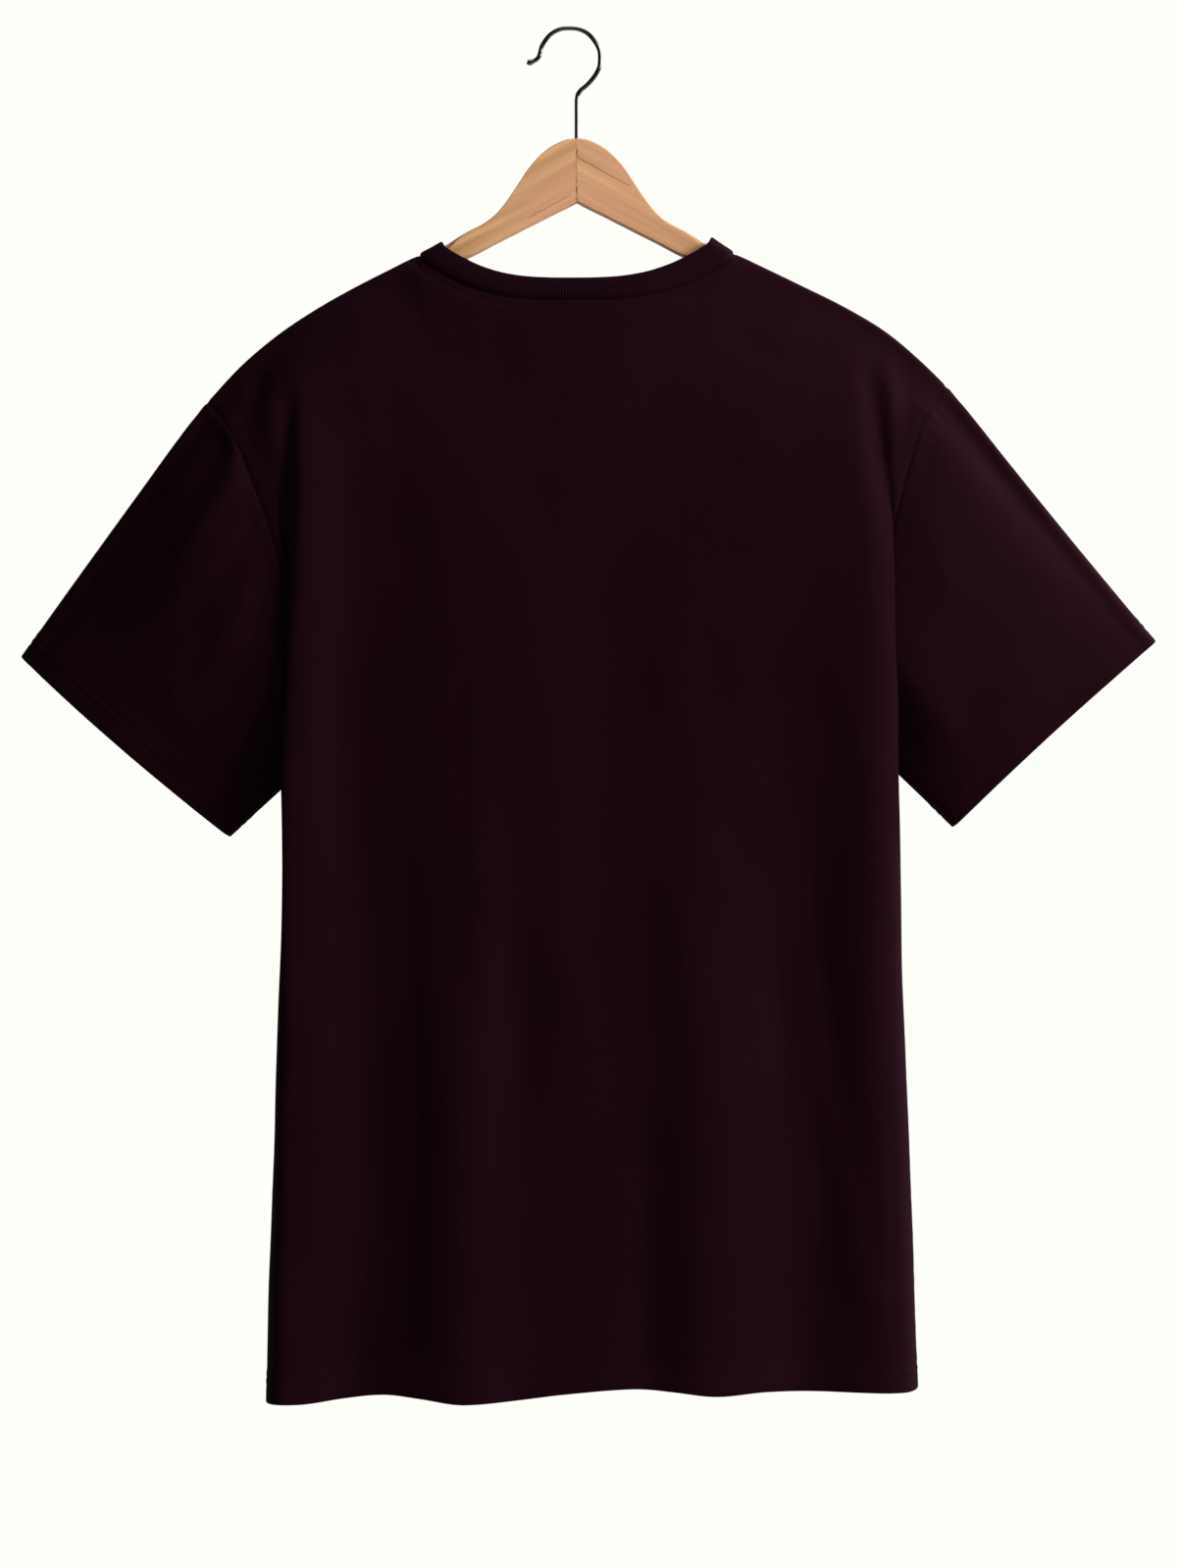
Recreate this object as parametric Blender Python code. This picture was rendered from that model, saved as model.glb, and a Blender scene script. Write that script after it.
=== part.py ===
"""Crew neck t-shirt hanging on a wooden hanger with a wire hook.

Metres, +Z up, X across the shoulders (+X is the wearer's left), the shirt's front
faces -Y. The origin is the inner top of the hook. Tables are in millimetres, with x
measured from the hanger's middle.
"""

import math

import bpy
import numpy as np

MM = 0.001
LEFT, RIGHT = 1, -1
BACK, FRONT = 1, -1

HANGER_X = -4.8  # the hanger's middle, from the hook's
JERSEY = 1.8
RIB = 2.2
SEAM_GAP = 0.3

NECK_COLUMNS = 18  # across one panel's neckline
SHOULDER_COLUMNS = 4  # from the neck to the side fold
SIDE_COLUMNS = 5  # from the side fold to the armhole
UNDERARM_ROW = 14  # the armhole's last row, and the side seam's first
SLEEVE_ROWS = 8
RIB_ROWS = 3

COLLECTION = "crew_neck_t_shirt"


def table(columns, *rows):
    """The rows of a table as one array for each named column."""
    return dict(zip(columns.split(), np.array(rows, float).T))


# The shoulder seam, from the neckline to the sleeve.
SHOULDER = {
    LEFT: table(
        "x z",
        (102.4, -147.0),
        (140.0, -165.8),
        (171.5, -183.6),
        (197.0, -200.9),
        (219.5, -220.2),
        (241.0, -243.4),
    ),
    RIGHT: table(
        "x z",
        (102.4, -145.9),
        (142.0, -164.9),
        (180.5, -184.2),
        (203.0, -198.3),
        (225.0, -217.0),
        (241.0, -232.8),
    ),
}
FOLD_X = 184.0  # where the side fold leaves the shoulder seam

# The cloth's way round the hanger's arm from the shoulder seam.
OVER_ARM = table("down out", (0.0, 0.0), (1.7, 6.0), (8.0, 8.1))

# How a column's first two rows leave the neckline, by steps along it from the shoulder:
# square to the seam, straight down and out from the middle plane.
LEAVE = table(
    "near away_1 down_1 out_1 away_2 down_2 out_2",
    (0, 4.5, 0.9, 6.3, 9.0, 7.0, 8.4),
    (1, 4.5, 2.5, 1.9, 6.5, 8.5, 4.0),
    (2, 4.5, 2.5, 0.9, 6.5, 7.0, 2.9),
    (3, 5.5, 0.5, 0.9, 11.0, 2.0, 2.6),
    (9, 6.0, 0.0, 0.5, 12.0, 0.0, 1.5),
)

# The neckline seam and the rib's free edge, from the shoulder to the centre.
NECK_SEAM = {
    BACK: table(
        "x y z",
        (102.4, 0.0, -146.4),
        (101.2, 6.2, -148.2),
        (98.6, 8.6, -151.6),
        (92.5, 10.2, -155.8),
        (83.0, 12.6, -161.4),
        (71.0, 15.0, -167.2),
        (56.0, 17.3, -172.5),
        (38.0, 19.0, -176.0),
        (19.0, 19.8, -177.4),
        (0.0, 20.0, -177.6),
    ),
    FRONT: table(
        "x y z",
        (102.4, 0.0, -146.4),
        (101.6, 6.2, -148.4),
        (100.4, 9.0, -154.5),
        (96.5, 12.0, -171.0),
        (88.5, 16.0, -191.0),
        (76.0, 20.0, -210.0),
        (58.5, 24.0, -226.0),
        (39.0, 26.5, -236.0),
        (19.5, 28.0, -240.5),
        (0.0, 28.5, -241.5),
    ),
}
RIB_EDGE = {
    BACK: table(
        "x y z",
        (87.2, 0.0, -138.0),
        (86.4, 6.4, -139.8),
        (84.4, 8.8, -142.0),
        (78.5, 10.2, -145.8),
        (70.0, 12.0, -150.4),
        (60.0, 14.0, -155.0),
        (47.0, 15.8, -159.2),
        (32.0, 17.2, -161.9),
        (16.0, 18.0, -163.0),
        (0.0, 18.2, -163.2),
    ),
    FRONT: table(
        "x y z",
        (87.2, 0.0, -138.0),
        (86.6, 6.4, -140.0),
        (85.4, 9.0, -145.8),
        (81.5, 11.0, -161.5),
        (74.0, 14.0, -178.5),
        (63.0, 17.5, -194.5),
        (48.5, 21.0, -208.5),
        (32.5, 23.5, -218.0),
        (16.2, 25.0, -223.0),
        (0.0, 25.5, -224.5),
    ),
}
NECK_SKEW = 3.0  # the centre hangs this far towards the left
RIB_LIFT = {LEFT: 0.2, RIGHT: 2.2}  # how far the rib's edge rides up at each shoulder
NECK_SPREAD = 0.8  # how the neckline's columns spread over the width below it
RIB_BULGE = 1.2  # how far the rib's middle stands out of a flat band
RIB_EVEN = 0.17  # the share of the way round over which the bulge grows from a shoulder

# Level sections of the body below the shoulders: each row's number, its height at both
# sides, and the panels' depth from the middle plane at the centre.
LEVELS = table(
    "row left_z right_z back front",
    (6, -283, -272, 32, 38),
    (8, -335, -330, 36, 40),
    (11, -405, -397, 38, 40),
    (14, -458, -448.5, 38, 39),
    (16, -500, -495, 38, 38),
    (19, -560, -558, 38, 37),
    (22, -640, -640, 37, 36),
    (26, -740, -740, 36, 35),
    (32, -889.5, -881.5, 35, 34),
)

# The side of the back panel on the same levels: the fold's crown, how far the cloth
# runs on past it before it turns, where it turns in, and the seam. Row 14 is the
# underarm point; the seam is the armhole above it and the side seam below.
SIDE = {
    LEFT: table(
        "row crown_x crown_y reach turn_x turn_y seam_x seam_y",
        (6, 174, 43, 18, 184, 19, 215, 16.5),
        (8, 173, 48, 20, 183, 22, 196, 21),
        (11, 175, 50, 24, 176, 26, 178, 21.5),
        (14, 178, 48, 36, 152, 24, 152, 0),
        (16, 178, 46, 38, 160, 24, 160, 0),
        (19, 179, 43, 30, 174, 26, 174, 0),
        (22, 181, 42, 22, 188, 24, 188, 0),
        (26, 182, 42, 20, 195, 24, 195, 0),
        (32, 184, 46, 20, 199, 26, 199, 0),
    ),
    RIGHT: table(
        "row crown_x crown_y reach turn_x turn_y seam_x seam_y",
        (6, 177, 40, 18, 188, 18, 219, 16),
        (8, 187, 48, 18, 197, 24, 204, 21.5),
        (11, 193, 51, 18, 192, 28, 193, 21),
        (14, 192, 48, 38, 172, 24, 172, 0),
        (16, 194, 46, 34, 180, 24, 180, 0),
        (19, 195, 43, 31, 192, 25, 192, 0),
        (22, 197, 42, 25, 204, 24, 204, 0),
        (26, 199, 41, 22, 212, 24, 212, 0),
        (32, 202, 42, 22, 219, 26, 219, 0),
    ),
}
FRONT_CROWN = 0.92  # the front's side folds stand this share of the back's
CROWN_POWER = 2.4  # how late the panel rises from its centre to the side fold
FOLD_POINTED = 1.6  # how narrow a fold is against its stated width
FOLD_FADE = (0.82, 1.0)  # where the hanging folds end, as shares of the way to the side fold

# Folds that fall from the shoulder blades or the chest: x at the top and at the hem,
# where one starts and has grown whole, how far it stands out at the hem, and its width
# to the left and to the right.
FOLDS = {
    BACK: table(
        "top_x hem_x start_z full_z out left_width right_width",
        (118, 122, -400, -880, -11, 34, 30),
        (76, 72, -400, -880, 13, 34, 60),
        (-34, -33, -380, -880, -13, 60, 34),
        (-84, -108, -260, -800, 11, 38, 52),
        (-150, -166, -480, -800, -6, 30, 26),
    ),
    FRONT: table(
        "top_x hem_x start_z full_z out left_width right_width",
        (128, 134, -420, -880, -9, 30, 34),
        (84, 88, -400, -880, 12, 36, 48),
        (22, 16, -380, -880, -12, 44, 40),
        (-46, -50, -360, -880, 11, 46, 44),
        (-112, -118, -420, -880, -10, 40, 32),
    ),
}

SLEEVE_FULL = 0.75  # how full a sleeve is near its edges: less is fuller

# The sleeves: the cuff's outer and inner corners, how far its edge bows out between them
# and each face gapes, how steeply a face swells from the armhole and tapers to the cuff,
# and how far the top edge stands out over a straight line.
SLEEVE = {
    LEFT: {
        "top": (361.4, -408.6),
        "low": (226.2, -525.4),
        "bow": 1.8,
        "gape": 20.0,
        "swell": 0.3,
        "taper": 0.1,
        "crown": 0.8,
    },
    RIGHT: {
        "top": (376.8, -398.6),
        "low": (245.2, -519.0),
        "bow": -2.2,
        "gape": 20.0,
        "swell": 0.3,
        "taper": 0.1,
        "crown": -0.6,
    },
}

# One half of the wooden hanger where it shows, from the joint to the collar.
ARM = table(
    "top_x top_z low_x low_z",
    (0.15, -71.2, 0.15, -112.4),
    (5.5, -71.6, 5.0, -115.0),
    (12.0, -74.0, 11.0, -118.0),
    (19.5, -78.4, 18.0, -121.4),
    (27.0, -85.4, 25.5, -125.3),
    (33.0, -93.0, 31.0, -128.0),
    (39.0, -102.2, 36.0, -130.6),
    (46.5, -113.2, 41.5, -133.4),
    (53.5, -121.2, 47.5, -136.4),
    (61.0, -126.8, 54.5, -140.0),
    (70.0, -131.4, 63.0, -144.6),
    (79.0, -136.6, 72.4, -149.4),
)
ARM_STATIONS = (90.0, 102.0, 118.0, 136.0, 154.0, 172.0, 188.0, 202.0, 213.0)
ARM_END_X = 221.0
ARM_HALF = 5.9  # half the wood's thickness
ARM_ROUND = 5.5
ARM_FLAT = 1.6  # the least flat left between the rounded edges
ARM_HEIGHT = (14.6, 11.0)  # at the collar and at the end
ARM_TIP = 3.2  # the rounded end's length
ARM_TIP_SHARE = 0.62  # and its size against the last section's
ARM_CLEAR = 2.05  # from the cloth's middle to the wood

# The hook: a wire bent to a loop, with a tip bead and a straight shank in the wood.
WIRE = 1.45
HOOK = table(
    "x z",
    (25.9, -19.6),
    (23.5, -19.0),
    (21.4, -18.4),
    (19.5, -16.9),
    (19.0, -14.6),
    (17.2, -8.9),
    (12.6, -2.9),
    (6.2, 0.7),
    (0.0, 1.45),
    (-6.3, 0.8),
    (-12.2, -2.2),
    (-16.8, -7.5),
    (-19.6, -13.4),
    (-20.0, -18.4),
    (-19.3, -24.5),
    (-16.1, -30.3),
    (-11.6, -35.5),
    (-7.0, -39.5),
    (-5.1, -43.4),
    (-4.8, -49.0),
    (-4.8, -100.0),
)
TIP_BEAD = 2.0
BORE = 1.8
BORE_DEPTH = 30.0


def smooth(at, xs, ys):
    """A smooth curve through the points xs, ys, read at one place or at many."""
    xs = np.asarray(xs, float)
    ys = np.asarray(ys, float)
    run = np.diff(xs)
    rise = np.diff(ys, axis=0) / run.reshape(-1, *[1] * (ys.ndim - 1))
    slope = np.concatenate([rise[:1], (rise[1:] + rise[:-1]) / 2, rise[-1:]])
    low = np.minimum(abs(rise[1:]), abs(rise[:-1])) * 3
    same = rise[1:] * rise[:-1] > 0
    slope[1:-1] = np.where(same, np.clip(slope[1:-1], -low, low), 0)
    i = np.clip(np.searchsorted(xs, at) - 1, 0, len(run) - 1)
    t = (at - xs[i]) / run[i]
    if ys.ndim > 1:
        t = np.reshape(t, np.shape(t) + (1,) * (ys.ndim - 1))
        width = np.reshape(run[i], np.shape(run[i]) + (1,) * (ys.ndim - 1))
    else:
        width = run[i]
    ease = t * t * (3 - 2 * t)
    first = t * (1 - t) ** 2 * width
    last = t * t * (t - 1) * width
    return ys[i] + (ys[i + 1] - ys[i]) * ease + slope[i] * first + slope[i + 1] * last


def step(x):
    """0 below 0, 1 above 1, with an even rise between."""
    x = np.clip(x, 0, 1)
    return x * x * (3 - 2 * x)


def shoulder_point(side, x):
    """A point of the shoulder seam and the direction square to it, into the shirt."""
    seam = SHOULDER[side]
    z = smooth(x, seam["x"], seam["z"])
    fall = smooth(x + 1, seam["x"], seam["z"]) - smooth(x - 1, seam["x"], seam["z"])
    along = np.array([2.0, fall]) / math.hypot(2.0, fall)
    return np.array([side * x, 0.0, z]), np.array([side * along[1], 0.0, -along[0]])


def neck_point(tables, face, column):
    """A point of the neckline seam or of the rib's free edge, for columns -1 to 1."""
    curve = tables[face]
    side = LEFT if column >= 0 else RIGHT
    inward = 1 - abs(column)
    rows = np.arange(len(curve["x"]))
    x, y, z = (smooth(inward * rows[-1], rows, curve[name]) for name in "xyz")
    lift = SHOULDER[side]["z"][0] - NECK_SEAM[BACK]["z"][0]
    lift += RIB_LIFT[side] if tables is RIB_EDGE else 0
    return np.array(
        [side * x + NECK_SKEW * step(inward), face * y, z + lift * (1 - inward) ** 2]
    )


def seam_x(column):
    """How far out a column lies, on the shoulder seam or under the neckline."""
    reach = abs(column)
    inner, outer = SHOULDER[LEFT]["x"][0], SHOULDER[LEFT]["x"][-1]
    if reach <= 1:
        return inner * reach**NECK_SPREAD
    if reach <= 2:
        return inner + (FOLD_X - inner) * (reach - 1)
    return FOLD_X + (outer - FOLD_X) * (reach - 2)


def top_points(face, column):
    """The first three points of a column, from its seam."""
    side = LEFT if column >= 0 else RIGHT
    if abs(column) > 1:
        return over_arm(face, *shoulder_point(side, seam_x(column)))
    seam = neck_point(NECK_SEAM, face, column)
    away = seam - neck_point(RIB_EDGE, face, column)
    away /= np.linalg.norm(away)
    near = (1 - abs(column)) * (len(NECK_SEAM[face]["x"]) - 1)
    leave = {name: smooth(near, LEAVE["near"], values) for name, values in LEAVE.items()}
    return [seam] + [
        seam + away * leave[f"away_{i}"] + [0, face * leave[f"out_{i}"], -leave[f"down_{i}"]]
        for i in (1, 2)
    ]


def over_arm(face, seam, inward):
    """The cloth round the hanger's arm, from the shoulder seam."""
    return [
        seam + inward * down + [0, face * out, 0]
        for down, out in zip(OVER_ARM["down"], OVER_ARM["out"])
    ]


def fold_height(face, x, z):
    """How far the hanging folds move a panel out."""
    total = 0.0
    folds = FOLDS[face]
    for i in range(len(folds["out"])):
        fold = {name: column[i] for name, column in folds.items()}
        grown = step((fold["start_z"] - z) / (fold["start_z"] - fold["full_z"]))
        centre = fold["top_x"] + (fold["hem_x"] - fold["top_x"]) * grown
        width = fold["left_width"] if x > centre else fold["right_width"]
        total += fold["out"] * grown * math.exp(-FOLD_POINTED * ((x - centre) / width) ** 2)
    return total


def level_point(face, column, level):
    """A point of a panel on one of the level sections."""
    side = LEFT if column >= 0 else RIGHT
    row = {name: values[level] for name, values in SIDE[side].items()}
    share = 0.5 + column / 6
    z = LEVELS["right_z"][level] * (1 - share) + LEVELS["left_z"][level] * share
    depth = LEVELS["back" if face == BACK else "front"][level]
    crown_y = row["crown_y"] * (1 if face == BACK else FRONT_CROWN)
    reach = abs(column)
    if reach <= 2:
        at = seam_x(column) / FOLD_X
        x = at * row["crown_x"]
        y = depth + (crown_y - depth) * at**CROWN_POWER
        fade = 1 - step((at - FOLD_FADE[0]) / (FOLD_FADE[1] - FOLD_FADE[0]))
        y += fold_height(face, side * x, z) * fade
        return np.array([side * x, face * y, z])
    t = reach - 2
    points = np.array(
        [
            [row["crown_x"], crown_y],
            [row["crown_x"] + row["reach"], crown_y],
            [row["turn_x"], row["turn_y"]],
            [row["seam_x"], row["seam_y"]],
        ]
    )
    weights = np.array([(1 - t) ** 3, 3 * t * (1 - t) ** 2, 3 * t * t * (1 - t), t**3])
    x, y = weights @ points
    return np.array([side * x, face * y, z])


def columns():
    """The columns of a panel, from the left side to the right one."""
    neck = np.linspace(1, 0, NECK_COLUMNS // 2, endpoint=False)
    shoulder = np.linspace(2, 1, SHOULDER_COLUMNS, endpoint=False)
    side = np.linspace(3, 2, SIDE_COLUMNS, endpoint=False)
    half = np.concatenate([side, shoulder, neck])
    return np.concatenate([half, [0], -half[::-1]])


def panel_grid(face):
    """The middle surface of the front or the back: rows down from the seams."""
    stations = np.concatenate([[0, 1, 2], LEVELS["row"]])
    rows = np.arange(int(LEVELS["row"][-1]) + 1)
    grid = []
    for column in columns():
        points = top_points(face, column)
        points += [level_point(face, column, k) for k in range(len(LEVELS["row"]))]
        grid.append(smooth(rows, stations, np.array(points)))
    return np.array(grid).transpose(1, 0, 2)


def armhole(side):
    """The armhole as a ring: down the back, and up the front."""
    rows = UNDERARM_ROW + 1
    column = 0 if side == LEFT else -1
    back = panel_grid(BACK)[:rows, column]
    front = panel_grid(FRONT)[:rows, column]
    return np.concatenate([back, front[-2:0:-1]])


def sleeve_grid(side):
    """The middle surface of a sleeve: rings from the armhole to the cuff."""
    sizes = SLEEVE[side]
    ring = armhole(side)
    half = len(ring) // 2
    steps = np.linalg.norm(np.roll(ring, -1, axis=0) - ring, axis=1)
    back = np.concatenate([[0], np.cumsum(steps[:half])])
    front = np.concatenate([[0], np.cumsum(steps[half:])])
    down = np.concatenate([back / back[-1], 1 - front[1:-1] / front[-1]])[:, None]
    belly = np.sin(np.pi * down) ** SLEEVE_FULL
    belly[half + 1 :] *= -1
    top = np.array([side * sizes["top"][0], 0.0, sizes["top"][1]])
    low = np.array([side * sizes["low"][0], 0.0, sizes["low"][1]])
    depth = np.array([0.0, 1.0, 0.0])
    cuff = top + (low - top) * down + depth * belly * sizes["gape"]
    past = np.cross(low - top, depth) * side / np.linalg.norm(low - top)
    cuff += past * sizes["bow"] * 4 * down * (1 - down)
    upper = (top - ring[0]) / np.linalg.norm(top - ring[0])
    lower = (low - ring[half]) / np.linalg.norm(low - ring[half])
    square = np.array([-side * upper[2], 0.0, side * upper[0]])
    along = upper + (lower - upper) * down
    length = np.linalg.norm(cuff - ring, axis=1)[:, None]
    near = ring + (along + depth * belly * sizes["swell"]) * length / 3
    far = cuff - (along - depth * belly * sizes["taper"]) * length / 3
    grid = []
    for share in np.linspace(0, 1, SLEEVE_ROWS + 1):
        rest = 1 - share
        points = ring * rest**3 + near * 3 * share * rest**2
        points = points + far * 3 * share**2 * rest + cuff * share**3
        crown = sizes["crown"] * 4 * share * rest * (1 - down) ** 2
        grid.append(points + square * crown)
    return np.array(grid)


def rib_grid():
    """The middle surface of the neck rib: rings from its seam to its free edge."""
    across = np.linspace(1, -1, NECK_COLUMNS + 1)
    ring = [(BACK, c) for c in across] + [(FRONT, c) for c in across[-2:0:-1]]
    seam = np.array([neck_point(NECK_SEAM, face, c) for face, c in ring])
    edge = np.array([neck_point(RIB_EDGE, face, c) for face, c in ring])
    grid = []
    for share in np.linspace(0, 1, RIB_ROWS + 1):
        points = seam + (edge - seam) * share
        faces = np.array([face * min(1, (1 - abs(c)) / RIB_EVEN) for face, c in ring])
        points[:, 1] += faces * RIB_BULGE * 4 * share * (1 - share)
        grid.append(points)
    return np.array(grid)


def grid_normals(grid, closed):
    """The unit normal of every point of a grid."""
    down = np.gradient(grid, axis=0)
    if closed:
        across = (np.roll(grid, -1, axis=1) - np.roll(grid, 1, axis=1)) / 2
    else:
        across = np.gradient(grid, axis=1)
    normals = np.cross(down, across)
    return normals / np.linalg.norm(normals, axis=2)[:, :, None]


def borders(shape, closed):
    """Every border point of a grid with its neighbour inside, once for each border."""
    rows, cols = shape[:2]
    found = [((0, j), (1, j), (0, 1)) for j in range(cols)]
    found += [((rows - 1, j), (rows - 2, j), (0, 1)) for j in range(cols)]
    if not closed:
        found += [((i, 0), (i, 1), (1, 0)) for i in range(rows)]
        found += [((i, cols - 1), (i, cols - 2), (1, 0)) for i in range(rows)]
    return found


def place_key(point):
    return tuple(np.round(point, 2) + 0.0)


class Shell:
    """One piece of cloth: its middle surface, its normals and its wall."""

    def __init__(self, name, grid, wall, closed, turned):
        self.name = name
        self.grid = grid
        self.closed = closed
        self.turned = turned
        self.own = grid_normals(grid, closed) * (-1 if turned else 1)
        self.half_wall = self.own * wall / 2
        self.keys = [[place_key(point) for point in row] for row in grid]

    def beside(self, spot, along):
        """The border points before and after one."""
        rows, cols = self.grid.shape[:2]
        (i, j), (di, dj) = spot, along
        found = []
        for turn in (-1, 1):
            k = j + dj * turn
            k = k % cols if self.closed else min(max(k, 0), cols - 1)
            found.append(self.grid[min(max(i + di * turn, 0), rows - 1), k])
        return found

    def report(self, meeting):
        """Adds each border point's normal, by the angle that the piece fills there."""
        for spot in {spot for spot, _, _ in borders(self.grid.shape, self.closed)}:
            ends = [
                point
                for other, _, along in borders(self.grid.shape, self.closed)
                if other == spot
                for point in self.beside(spot, along)
            ]
            arms = [point - self.grid[spot] for point in ends]
            arms = [arm / np.linalg.norm(arm) for arm in arms if np.linalg.norm(arm) > 1e-6]
            angle = math.acos(np.clip(arms[0] @ arms[1], -1, 1))
            key = self.keys[spot[0]][spot[1]]
            meeting.setdefault(key, []).append((self.own[spot], angle))

    def join(self, meeting):
        """Gives each seam one end wall, and moves the piece back from it by half the gap."""
        shift = np.zeros_like(self.grid)
        for spot, inner, along in borders(self.grid.shape, self.closed):
            found = meeting[self.keys[spot[0]][spot[1]]]
            if len(found) < 2:
                continue
            mean = sum(normal * angle for normal, angle in found)
            mean /= np.linalg.norm(mean)
            lean = np.mean([normal @ mean for normal, _ in found])
            self.half_wall[spot] = mean * JERSEY / 2 / max(lean, 0.6)
            before, after = self.beside(spot, along)
            into = np.cross(mean, after - before)
            into /= np.linalg.norm(into)
            into *= np.sign(into @ (self.grid[inner] - self.grid[spot]))
            shift[spot] += into * SEAM_GAP / 2
        self.grid = self.grid + shift

    def build(self):
        """The points and the faces of the closed wall."""
        rows, cols = self.grid.shape[:2]
        outer = self.grid + self.half_wall
        inner = self.grid - self.half_wall
        points = np.concatenate([outer.reshape(-1, 3), inner.reshape(-1, 3)])
        base = rows * cols
        wide = cols if self.closed else cols - 1
        faces = []
        for i in range(rows - 1):
            for j in range(wide):
                k = (j + 1) % cols
                quad = [i * cols + j, (i + 1) * cols + j, (i + 1) * cols + k, i * cols + k]
                faces.append(quad)
                faces.append([base + q for q in quad[::-1]])
        ends = [(i, cols - 1, i + 1, cols - 1) for i in range(rows - 1)]
        ends += [(i + 1, 0, i, 0) for i in range(rows - 1)]
        ends = [] if self.closed else ends
        for j in range(wide):
            k = (j + 1) % cols
            ends.append((0, j, 0, k))
            ends.append((rows - 1, k, rows - 1, j))
        for i, j, m, n in ends:
            a, b = i * cols + j, m * cols + n
            if self.keys[i][j] < self.keys[m][n]:
                faces += [[a, b, base + a], [b, base + b, base + a]]
            else:
                faces += [[a, b, base + b], [a, base + b, base + a]]
        if self.turned:
            faces = [face[::-1] for face in faces]
        return points, faces


def material(name, colour, roughness):
    made = bpy.data.materials.new(name)
    made.use_nodes = True
    shader = made.node_tree.nodes["Principled BSDF"]
    shader.inputs["Base Color"].default_value = (*colour, 1)
    shader.inputs["Roughness"].default_value = roughness
    shader.inputs["Metallic"].default_value = 0
    made.diffuse_color = (*colour, 1)
    return made


def add_mesh(name, points, faces, look, group):
    """A mesh object from points in millimetres about the hanger's middle."""
    points = (np.asarray(points, float) + [HANGER_X, 0, 0]) * MM
    mesh = bpy.data.meshes.new(name)
    mesh.from_pydata([tuple(p) for p in points], [], [list(f) for f in faces])
    mesh.update()
    mesh.materials.append(look)
    made = bpy.data.objects.new(name, mesh)
    group.objects.link(made)
    return made


def arm_sections(side):
    """Top and bottom points of one hanger half, from the joint to the end."""
    tops = [np.array([side * x, 0, z]) for x, z in zip(ARM["top_x"], ARM["top_z"])]
    lows = [np.array([side * x, 0, z]) for x, z in zip(ARM["low_x"], ARM["low_z"])]
    for x in (*ARM_STATIONS, ARM_END_X):
        seam, inward = shoulder_point(side, x)
        share = (x - ARM_STATIONS[0]) / (ARM_END_X - ARM_STATIONS[0])
        height = ARM_HEIGHT[0] + (ARM_HEIGHT[1] - ARM_HEIGHT[0]) * share
        top = seam + inward * ARM_CLEAR
        tops.append(top)
        lows.append(top + inward * height)
    return tops, lows


def round_section(top, low):
    """A rounded section of the wood between its top and bottom points."""
    up = top - low
    height = np.linalg.norm(up)
    up = up / height
    corner = min(ARM_ROUND, (height - ARM_FLAT) / 2)
    ring = []
    for quarter, (wide, tall) in enumerate(((1, 1), (-1, 1), (-1, -1), (1, -1))):
        for turn in np.radians(90 * quarter + np.array([0, 45, 90])):
            y = wide * (ARM_HALF - corner) + corner * math.cos(turn)
            rise = tall * (height / 2 - corner) + corner * math.sin(turn)
            ring.append((top + low) / 2 + up * rise + np.array([0, y, 0]))
    return np.array(ring)


def add_drill(cutters):
    """The cutter for the bore that takes the hook's shank."""
    bpy.ops.mesh.primitive_cylinder_add(
        vertices=20,
        radius=BORE * MM,
        depth=2 * BORE_DEPTH * MM,
        location=(HANGER_X * MM, 0, ARM["top_z"][0] * MM),
    )
    drill = bpy.context.object
    drill.name = "shank_drill"
    drill.hide_render = True
    drill.display_type = "WIRE"
    for group in list(drill.users_collection):
        group.objects.unlink(drill)
    cutters.objects.link(drill)
    return drill


def add_arm(name, side, drill, look, group):
    """One wooden half: rounded sections from the joint to a rounded end, and the bore."""
    rings = [round_section(top, low) for top, low in zip(*arm_sections(side))]
    middle = rings[-1].mean(axis=0)
    forward = middle - rings[-2].mean(axis=0)
    forward /= np.linalg.norm(forward)
    rings.append(middle + (rings[-1] - middle) * ARM_TIP_SHARE + forward * ARM_TIP)
    size, last = len(rings[0]), len(rings) - 1
    faces = [list(range(size))[::-1], [last * size + j for j in range(size)]]
    for i in range(last):
        for j in range(size):
            k = (j + 1) % size
            faces.append([i * size + j, i * size + k, (i + 1) * size + k, (i + 1) * size + j])
    if side == LEFT:
        faces = [face[::-1] for face in faces]
    made = add_mesh(name, np.concatenate(rings), faces, look, group)
    cut = made.modifiers.new("bore", "BOOLEAN")
    cut.operation = "DIFFERENCE"
    cut.solver = "EXACT"
    cut.object = drill
    return made


def add_hook(look, group):
    """The wire hook, from its tip to the end of its shank."""
    data = bpy.data.curves.new("hanger_hook", "CURVE")
    data.dimensions = "3D"
    data.bevel_depth = WIRE * MM
    data.bevel_resolution = 2
    data.use_fill_caps = True
    rows = np.arange(len(HOOK["x"]))
    bend = len(rows) - 2
    places = np.concatenate([np.arange(0, bend, 0.5), [bend, bend + 1]])
    xs = smooth(places, rows, HOOK["x"])
    zs = smooth(places, rows, HOOK["z"])
    line = data.splines.new("POLY")
    line.points.add(len(places) - 1)
    for point, x, z in zip(line.points, xs, zs):
        point.co = (x * MM, 0, z * MM, 1)
    line.points[0].radius = TIP_BEAD / WIRE
    line.points[1].radius = TIP_BEAD / WIRE
    data.materials.append(look)
    made = bpy.data.objects.new("hanger_hook", data)
    group.objects.link(made)
    return made


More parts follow.
